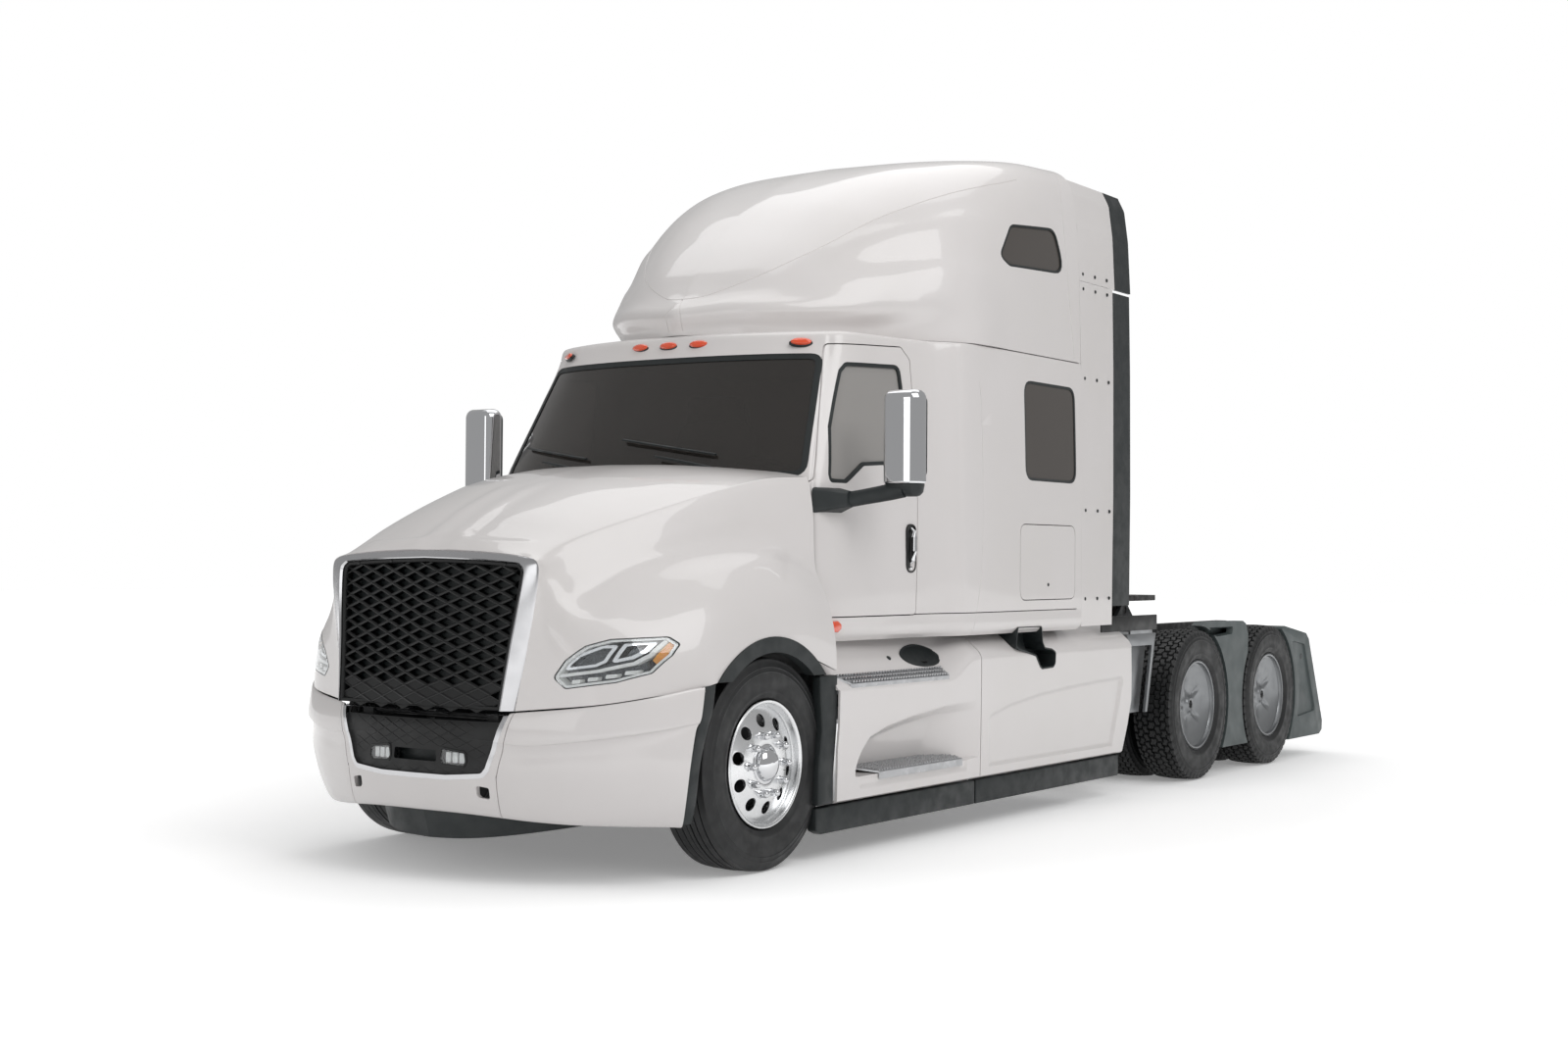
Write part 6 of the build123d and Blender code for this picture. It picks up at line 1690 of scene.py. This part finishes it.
class TRACTOR_OT_fairings(bpy.types.Operator):
    """Build the side fairings with their steps, and the dark trims along the bottom"""
    bl_idname = "tractor.fairings"
    bl_label = "Side fairings and steps"

    def execute(self, context):
        filler = [(FRONT_AXLE - 1.53 + 0.185 * math.cos(a), 1.098 + 0.050 * math.sin(a))
                  for a in np.linspace(0, 2 * math.pi, 48, endpoint=False)]
        notch = side_outline([(2420, 1094), (2400, 985), (2440, 970), (2650, 925), (2705, 860),
                              (2730, 848), (2870, 852), (2895, 872), (2900, 935), (2850, 955),
                              (2760, 965), (2730, 1000), (2715, 1094)])
        for side, sign in SIDES:
            front = fairing_panel(f"fairing_front_{side}", 0.53, 1.992, 132)
            cut(front, [prism_data(filler, "z", 0.9, 1.2)])
            rear = fairing_panel(f"fairing_rear_{side}", 2.0, 3.97, 104)
            cut(rear, [prism_data(rounded(notch, 0.02), "y", 1.02, 1.4)])
            for piece, replaces in ((front, ("side_fairings",) if sign > 0 else ()), (rear, ())):
                if sign < 0:
                    piece.data.transform(Matrix.Scale(-1, 4, (0, 1, 0)))
                    piece.data.flip_normals()
                finish_piece(piece, "chassis", "white_paint", replaces)
        middle = (FRONT_AXLE - 1.53, 1.098)
        rings = []
        for out, drop in ((1.07, 0.001), (1.06, 0.006), (0.99, 0.006), (0.93, -0.008), (0.80, -0.034),
                          (0.5, -0.040)):
            rings.append([(middle[0] + (x - middle[0]) * out, middle[1] + (y - middle[1]) * out,
                           np.interp(middle[1] + (y - middle[1]) * out, *deck_line(1.5).T) + drop)
                          for x, y in filler])
        cups = [loft(rings)]
        made("fuel_filler_recess", two_sided(cups), "chassis", "dark_plastic")
        floor = float(np.interp(1.098, *deck_line(1.5).T)) - 0.042
        cap = lathe([(0.0001, 0.0), (0.036, 0.0), (0.036, 0.018), (0.031, 0.022), (0.0001, 0.022)],
                    (0, 0, 0), 28)
        cap = ([(x + middle[0], z * 0.9 + 1.098 + y * 0.6, y + floor) for x, y, z in cap[0]], cap[1])
        made("fuel_filler_cap", two_sided([cap]), "chassis", "black_grille")
        plug = dome((FRONT_AXLE - 1.21, 1.095, float(np.interp(1.095, *deck_line(1.2).T))), (0, 0.6, 0.8),
                    0.014, 0.008)
        made("deck_plug", two_sided([plug]), "chassis", "dark_plastic")
        shape = rounded(notch, 0.02)
        rings = [[(x, y, min(z, 1.094)) for x, z in grown(shape, out)]
                 for y, out in ((1.2215, 0.005), (1.2225, -0.004), (1.10, -0.010), (1.10, 0.001))]
        liner = [ring_band(rings), prism_data([(x, min(z, 1.094)) for x, z in shape], "y", 1.085, 1.10)]
        made("tie_down_liner", two_sided(liner), "chassis", "dark_plastic")
        self.trims()
        self.treads()
        return {"FINISHED"}

    def trims(self):
        """Dark trims: strips behind the bumper and before the fairing, and the skirts."""
        door = [(548, 905), (545, 650), (516, 420), (516, 274), (380, 276), (385, 450), (415, 640),
                (400, 800), (395, 905)]
        low = [(392, 262), (392, 150), (440, 131), (1985, 131), (1985, 262)]
        low_rear = [(1999, 262), (1999, 131), (3850, 131), (3850, 262)]
        parts = []
        for shape, y0, y1 in ((door, 1.150, 1.204), (low, 1.130, 1.186), (low_rear, 1.130, 1.186)):
            parts.append(prism_data(side_outline(shape), "y", y0, y1))
        strip = shell("bumper_end_strips", surface_grid(STRIP_LEVELS, 5, 4), (3.6, 0.6, 0.6), 0.0, -0.01, ())
        finish_piece(strip, "chassis", "dark_plastic")
        made("lower_trim_strips", two_sided(parts), "chassis", "dark_plastic",
             bevel=0.008, segments=3)

    def treads(self):
        """Serrated aluminium treads on the two steps of each side."""
        plates, teeth = [], []
        for start, end, inner, outer in ((0.66, 1.64, (1.162, 0.902), (1.2175, 0.861)),
                                         (0.93, 1.79, (1.072, 0.424), (1.2165, 0.402))):
            across = Vector((0, outer[0] - inner[0], outer[1] - inner[1]))
            up = Vector((0, inner[1] - outer[1], outer[0] - inner[0])).normalized()
            edge = [(inner[0], inner[1]), (outer[0] - 0.004, outer[1]), (outer[0], outer[1] - 0.005),
                    (outer[0], outer[1] - 0.040), (outer[0] - 0.004, outer[1] - 0.040),
                    (outer[0] - 0.004, outer[1] - 0.010), (inner[0], inner[1] - 0.006)]
            x0, x1 = FRONT_AXLE - end, FRONT_AXLE - start
            rings = []
            for x, share in ((x0, 0), (x1, 1)):
                rings.append([(x + 0.11 * share * (outer[0] - y) / (outer[0] - inner[0]), y, z)
                              for y, z in edge])
            plates.append(loft(rings))
            for row, part in enumerate(np.linspace(0.12, 0.88, 3 if inner[0] > 1.1 else 6)):
                at = Vector((0, inner[0], inner[1])) + across * part
                for x in np.arange(x0 + 0.02 + 0.013 * (row % 2), x1 - 0.02 + 0.1 * (1 - part), 0.027):
                    ring = []
                    for r, h in ((0.009, -0.001), (0.008, 0.004), (0.0035, 0.009)):
                        foot = at + up * h
                        ring.append([(x - r, foot.y - r * 0.7, foot.z + r * 0.2),
                                     (x + r, foot.y - r * 0.7, foot.z + r * 0.2),
                                     (x + r, foot.y + r * 0.7, foot.z - r * 0.2),
                                     (x - r, foot.y + r * 0.7, foot.z - r * 0.2)])
                    teeth.append(loft(ring))
        made("step_plates", two_sided(plates), "chassis", "tread_aluminium",
             ("step_treads",))
        made("step_teeth", two_sided(teeth), "chassis", "tread_aluminium")



EXTENDER_EDGE = ((1195, 1219), (1900, 1219), (2660, 1209), (2860, 1204), (3170, 1196), (3500, 1178),
                 (3700, 1150), (3790, 1105))     # z and y of the cab's rear edge, carried aft


def extender_sheet(name, starts, ends, low, high, inset, thickness):
    """A side extender between two lines aft, each given at the bottom and at the top."""
    levels = [z for z in np.linspace(low, high, 40)]
    edge_z = [z / 1000 for z, y in EXTENDER_EDGE]
    edge_y = [y / 1000 for z, y in EXTENDER_EDGE]
    grid = []
    for z in levels:
        share = (z - 1.195) / 2.6
        start = starts[0] + (starts[1] - starts[0]) * share
        end = ends[0] + (ends[1] - ends[0]) * share
        y = float(np.interp(z, edge_z, edge_y)) - inset
        grid.append([(FRONT_AXLE - start - (end - start) * part, y - 0.006 * part, z)
                     for part in (0.0, 0.02, 0.3, 0.6, 0.9, 1.0)])
    return shell(name, np.array(grid), (-0.4, 0.0, 2.4), 0.0, -thickness, ())


class TRACTOR_OT_extenders(bpy.types.Operator):
    """Build the side extenders behind the sleeper with their dark edges and screws"""
    bl_idname = "tractor.extenders"
    bl_label = "Side extenders"

    def execute(self, context):
        parts = (("extender_lower", (3.245, 3.245), (3.690, 3.740), 1.080, 3.165, 0.001, 0.022,
                  "white_paint", "white_paint", ("side_extenders",)),
                 ("extender_upper", (3.245, 3.245), (3.740, 3.765), 3.171, 3.790, 0.001, 0.022,
                  "white_paint", "white_paint", ()),
                 ("extender_edge_lower", (3.693, 3.743), (3.955, 3.995), 1.195, 3.150, 0.006, 0.016,
                  "dark_plastic", "dark_plastic", ("extender_edges",)),
                 ("extender_edge_upper", (3.743, 3.768), (3.992, 4.008), 3.171, 3.790, 0.006, 0.016,
                  "dark_plastic", "dark_plastic", ()))
        for name, starts, ends, low, high, inset, thick, material, slot, replaces in parts:
            piece = extender_sheet(name, starts, ends, low, high, inset, thick)
            finish_piece(piece, "chassis", material, replaces)
        heads = []
        for z in (1.245, 1.78, 2.58, 3.125, 3.215):
            y = float(np.interp(z, [p[0] / 1000 for p in EXTENDER_EDGE],
                                [p[1] / 1000 for p in EXTENDER_EDGE]))
            for aft in (3.30, 3.47, 3.64):
                heads.append(dome((FRONT_AXLE - aft, y - 0.003, z), (0, 1, 0), 0.011, 0.006, 12))
        made("extender_screws", two_sided(heads), "chassis", "dark_plastic")
        return {"FINISHED"}


class TRACTOR_OT_rear_details(bpy.types.Operator):
    """Build the bracket and the blank plate ahead of the drive wheels"""
    bl_idname = "tractor.rear_details"
    bl_label = "Rear brackets and plates"

    def execute(self, context):
        brackets, plates = [], []
        x0, x1 = FRONT_AXLE - 4.46, FRONT_AXLE - 4.02
        brackets.append(prism_data([(x1, 1.008), (x0, 1.008), (x0 + 0.13, 0.50), (x0 + 0.165, 0.50),
                                    (x0 + 0.06, 0.93), (x1, 0.93)], "y", 1.148, 1.168))
        brackets.append(prism_data([(x1, 0.93), (x0 + 0.06, 0.93), (x0 + 0.165, 0.50), (x1, 0.50)], "y",
                                   1.110, 1.122))
        brackets.append(block((x0 + 0.02, x1), (0.43, 1.150), (0.995, 1.008)))
        brackets.append(block((x1 - 0.03, x1 - 0.018), (0.43, 1.150), (0.52, 0.995)))
        brackets.append(block((x0 + 0.05, x1 - 0.05), (1.150, 1.166), (1.0, 1.110)))
        plates.append(block((FRONT_AXLE - 4.46, FRONT_AXLE - 3.62), (1.166, 1.176), (1.030, 1.128)))
        made("deck_brackets", two_sided(brackets), "chassis", "wheel_satin",
             bevel=0.003)
        made("blank_plates", two_sided(plates), "chassis", "black_grille", bevel=0.004)
        tank = tube([(x0 + 0.09, 1.06, 0.80), (x1 - 0.05, 1.06, 0.80)], 0.055, 28)
        made("air_tanks", two_sided([tank]), "chassis", "chassis_paint", bevel=0.008)
        return {"FINISHED"}



def arc_points(centre_x, radius, start, end, steps=24):
    """Places (x, z) on a circle about an axle's middle, between two angles in degrees."""
    return [(centre_x + radius * math.cos(a), HUB + radius * math.sin(a))
            for a in np.radians(np.linspace(start, end, steps))]


FENDER_GAP = 0.533       # radius of the drive fenders' inner arcs
FENDER_Y = (0.600, 1.212)


class TRACTOR_OT_fenders(bpy.types.Operator):
    """Build the moulded fenders between and behind the drive wheels"""
    bl_idname = "tractor.fenders"
    bl_label = "Drive fenders"

    def execute(self, context):
        mid, rear = AXLES[0][1], AXLES[1][1]
        left = [(x, z) for x, z in arc_points(mid, FENDER_GAP, 95, 217, 40)]
        right = [(x, z) for x, z in arc_points(rear, FENDER_GAP, 37, -37, 30)]
        shape = [(mid - 0.068, 1.045), (mid - 0.110, 1.064), (rear + 0.520, 1.056), (rear + 0.462, 1.036),
                 (rear + 0.420, 0.960)]
        shape += [(x, z) for x, z in right if 0.14 < z < 0.88]
        shape += [(x, z) for x, z in reversed(left) if z > 0.14]
        low = [(x, min(z, 0.93)) for x, z in shape]
        piece = new_piece("fender_saddles", *joined(two_sided([
            loft([[(x, FENDER_Y[0], z) for x, z in low], [(x, 1.105, z) for x, z in low],
                  [(x, 1.135, z) for x, z in shape], [(x, FENDER_Y[1], z) for x, z in shape]])])))
        pocket = [(mid - 0.17, 1.030), (mid - 0.62, 1.026), (mid - 0.60, 0.962), (mid - 0.33, 0.950),
                  (mid - 0.22, 0.968)]
        cut(piece, two_sided([cone_y(rounded(pocket, 0.018), 1.170, 1.24, 0.016)]))
        bevelled(piece, 0.014, 3, 35)
        finish_piece(piece, "chassis", "grey_plastic", ("drive_fenders",))

        tail = [(x, z) for x, z in arc_points(rear, FENDER_GAP, 119, 222, 40)]
        shape = [(rear - 0.26, 0.990), (rear - 0.31, 1.000), (rear - 0.77, 0.935), (rear - 0.83, 0.890),
                 (rear - 1.128, 0.250), (rear - 1.120, 0.180), (rear - 1.06, 0.150)] + tail[::-1]
        piece = new_piece("fender_tails", *joined(two_sided([prism_data(shape, "y", *FENDER_Y)])))
        panel = [(rear - 0.43, 0.900), (rear - 0.74, 0.862), (rear - 0.985, 0.330), (rear - 0.56, 0.300),
                 (rear - 0.62, 0.560)]
        cut(piece, two_sided([cone_y(rounded(panel, 0.04), 1.196, 1.26, 0.012)]))
        bevelled(piece, 0.016, 3, 35)
        finish_piece(piece, "chassis", "grey_plastic")
        return {"FINISHED"}


def cone_y(outline, low, high, draft):
    """An outline run across the tractor that widens outwards by a draft."""
    return loft([[(x, low, z) for x, z in grown(outline, -draft)], [(x, high, z) for x, z in outline]])


def cushion(place, size, lean=0.0, crown=0.30, steps=28):
    """A stuffed form: faces crowned, edges soft, leaning back by an angle in degrees."""
    rings = []
    turn = Matrix.Rotation(math.radians(lean), 4, "Y")

    def soft(value):
        return math.copysign(abs(value) ** crown, value)

    for up in np.linspace(-math.pi / 2 + 0.05, math.pi / 2 - 0.05, steps // 2):
        ring = []
        for around in np.linspace(0, 2 * math.pi, steps * 2, endpoint=False):
            local = Vector((soft(math.cos(up)) * soft(math.cos(around)) * size[0] / 2,
                            soft(math.cos(up)) * soft(math.sin(around)) * size[1] / 2,
                            soft(math.sin(up)) * size[2] / 2))
            swell = 1 + 0.05 * math.cos(around * 2) ** 2 * math.cos(up) ** 2
            ring.append(tuple(turn @ (local * swell) + Vector(place)))
        rings.append(ring)
    return loft(rings)


SEAT_PARTS = (
    # name, place behind the front axle and up, size, lean in degrees
    ("cushion", (1.490, 1.575), (0.50, 0.50, 0.14), 4),
    ("backrest", (1.790, 1.955), (0.13, 0.50, 0.66), -10),
    ("headrest", (1.868, 2.345), (0.10, 0.28, 0.17), -8),
)


class TRACTOR_OT_interior(bpy.types.Operator):
    """Build the seats and the bunk"""
    bl_idname = "tractor.interior"
    bl_label = "Seats and bunk"

    def execute(self, context):
        bases, seams = [], []
        for side, sign in SIDES:
            for name, (aft, z), size, lean in SEAT_PARTS:
                place = (FRONT_AXLE - aft, sign * 0.48, z)
                pad = made(f"seat_{name}_{side}", [cushion(place, size, lean)], "chassis", "seat_fabric",
                           ("seats",) if name == "cushion" and sign > 0 else ())
            x = FRONT_AXLE - 1.49
            bases.append(block((x - 0.19, x + 0.19), (sign * 0.48 - 0.19, sign * 0.48 + 0.19),
                               (1.160, 1.40)))
            bases.append(block((x - 0.24, x + 0.24), (sign * 0.48 - 0.23, sign * 0.48 + 0.23),
                               (1.44, 1.50)))
            bases.append(block((x - 0.12, x + 0.12), (sign * 0.48 - 0.12, sign * 0.48 + 0.12),
                               (1.39, 1.45)))
        made("seat_bases", bases, "chassis", "interior_plastic", bevel=0.012)
        self.steering_wheel()
        bunk = made("bunk_mattress", [cushion((FRONT_AXLE - 2.76, 0.0, 1.66), (0.80, 2.16, 0.14), 0,
                                              0.2)], "chassis", "seat_fabric")
        made("bunk_box", [block((FRONT_AXLE - 3.17, FRONT_AXLE - 2.36), (-1.09, 1.09), (1.160, 1.59))],
             "chassis", "interior_plastic", bevel=0.01)
        return {"FINISHED"}


    def steering_wheel(self):
        """The steering wheel in front of the left seat: a rim, four spokes, a hub and its column."""
        centre = Vector((FRONT_AXLE - 1.03, 0.48, 1.80))
        lean = math.radians(35)
        back, up = Vector((-math.cos(lean), 0, -math.sin(lean))), Vector((-math.sin(lean), 0,
                                                                          math.cos(lean)))
        rim = [[tuple(centre + (Vector((0, 1, 0)) * math.cos(a) + back * math.sin(a))
                      * (0.225 + 0.015 * math.cos(b)) + up * 0.015 * math.sin(b))
                for b in np.linspace(0, 2 * math.pi, 10, endpoint=False)]
               for a in np.linspace(0, 2 * math.pi, 57)]
        parts = [loft(rim[:29]), loft(rim[28:])]
        for a in (-0.45, 0.45, math.pi - 0.45, math.pi + 0.45):
            end = centre + (Vector((0, 1, 0)) * math.cos(a) + back * math.sin(a)) * 0.22
            parts.append(tube([centre - up * 0.02, end], 0.011, 8))
        parts.append(tube([centre - up * 0.05, centre + up * 0.012], 0.062, 24))
        parts.append(tube([centre - up * 0.04, centre - up * 0.42], 0.035, 16))
        made("steering_wheel", parts, "chassis", "interior_plastic")


class TRACTOR_OT_wipers(bpy.types.Operator):
    """Build the two wipers: arm, pivot cap and blade"""
    bl_idname = "tractor.wipers"
    bl_label = "Wipers"

    def execute(self, context):
        grid = surface_grid(CAB_LEVELS, *CAB_STEPS)

        def on_glass(y, z, out):
            """The place in front of the windscreen at a width and height."""
            best = None
            for row in grid:
                x = float(np.interp(abs(y), row[:24, 1], row[:24, 0]))
                level = float(row[0, 2])
                if best is None or abs(level - z) < abs(best[1] - z):
                    best = (x, level)
            slope = 0.55 * (z - best[1])
            return (best[0] - slope + out, y, z)

        parts = []
        for y0, z0, y1, z1 in ((0.62, 1.900, -0.06, 2.035), (-0.20, 1.900, -0.84, 2.020)):
            hub = on_glass(y0, z0, 0.020)
            parts.append(dome(hub, (0.9, 0, 0.45), 0.024, 0.030, 20))
            way = [on_glass(y0 + (y1 - y0) * t, z0 + (z1 - z0) * t ** 0.7, 0.030 + 0.02 * t * (1 - t))
                   for t in np.linspace(0.0, 0.62, 8)]
            parts.append(tube(way, [0.012, 0.012, 0.011, 0.010, 0.009, 0.008, 0.007, 0.006], 10))
            for lift, radius in ((0.012, 0.006), (0.022, 0.0045)):
                blade = [on_glass(y0 + (y1 - y0) * t, z0 + 0.03 + (z1 - z0) * (0.45 + 0.75 * t),
                                  lift) for t in np.linspace(0.12, 1.0, 12)]
                parts.append(tube(blade, radius, 8))
        made("windscreen_wipers", parts, "chassis", "dark_plastic", ("wipers",))
        return {"FINISHED"}



class TRACTOR_PT_panel(bpy.types.Panel):
    bl_idname = "TRACTOR_PT_panel"
    bl_label = "Tractor"
    bl_space_type = "VIEW_3D"
    bl_region_type = "UI"
    bl_category = "Tractor"

    def draw(self, context):
        for operator in OPERATORS:
            self.layout.operator(operator.bl_idname)


OPERATORS = (TRACTOR_OT_stage, TRACTOR_OT_frame_finish, TRACTOR_OT_cab, TRACTOR_OT_roof,
             TRACTOR_OT_hood, TRACTOR_OT_grille, TRACTOR_OT_bumper, TRACTOR_OT_headlamps,
             TRACTOR_OT_tyres, TRACTOR_OT_wheels, TRACTOR_OT_mirrors, TRACTOR_OT_fairings,
             TRACTOR_OT_extenders, TRACTOR_OT_rear_details, TRACTOR_OT_fenders, TRACTOR_OT_interior,
             TRACTOR_OT_wipers)
CLASSES = (StageSettings,) + OPERATORS + (TRACTOR_PT_panel,)


def register():
    for kind in CLASSES:
        bpy.utils.register_class(kind)
    bpy.types.Scene.tractor_stage = PointerProperty(type=StageSettings)


def unregister():
    del bpy.types.Scene.tractor_stage
    for kind in reversed(CLASSES):
        bpy.utils.unregister_class(kind)


def main():
    register()
    make_materials()
    for operator in OPERATORS:
        family, name = operator.bl_idname.split(".")
        getattr(getattr(bpy.ops, family), name)()


if __name__ == "__main__":
    main()
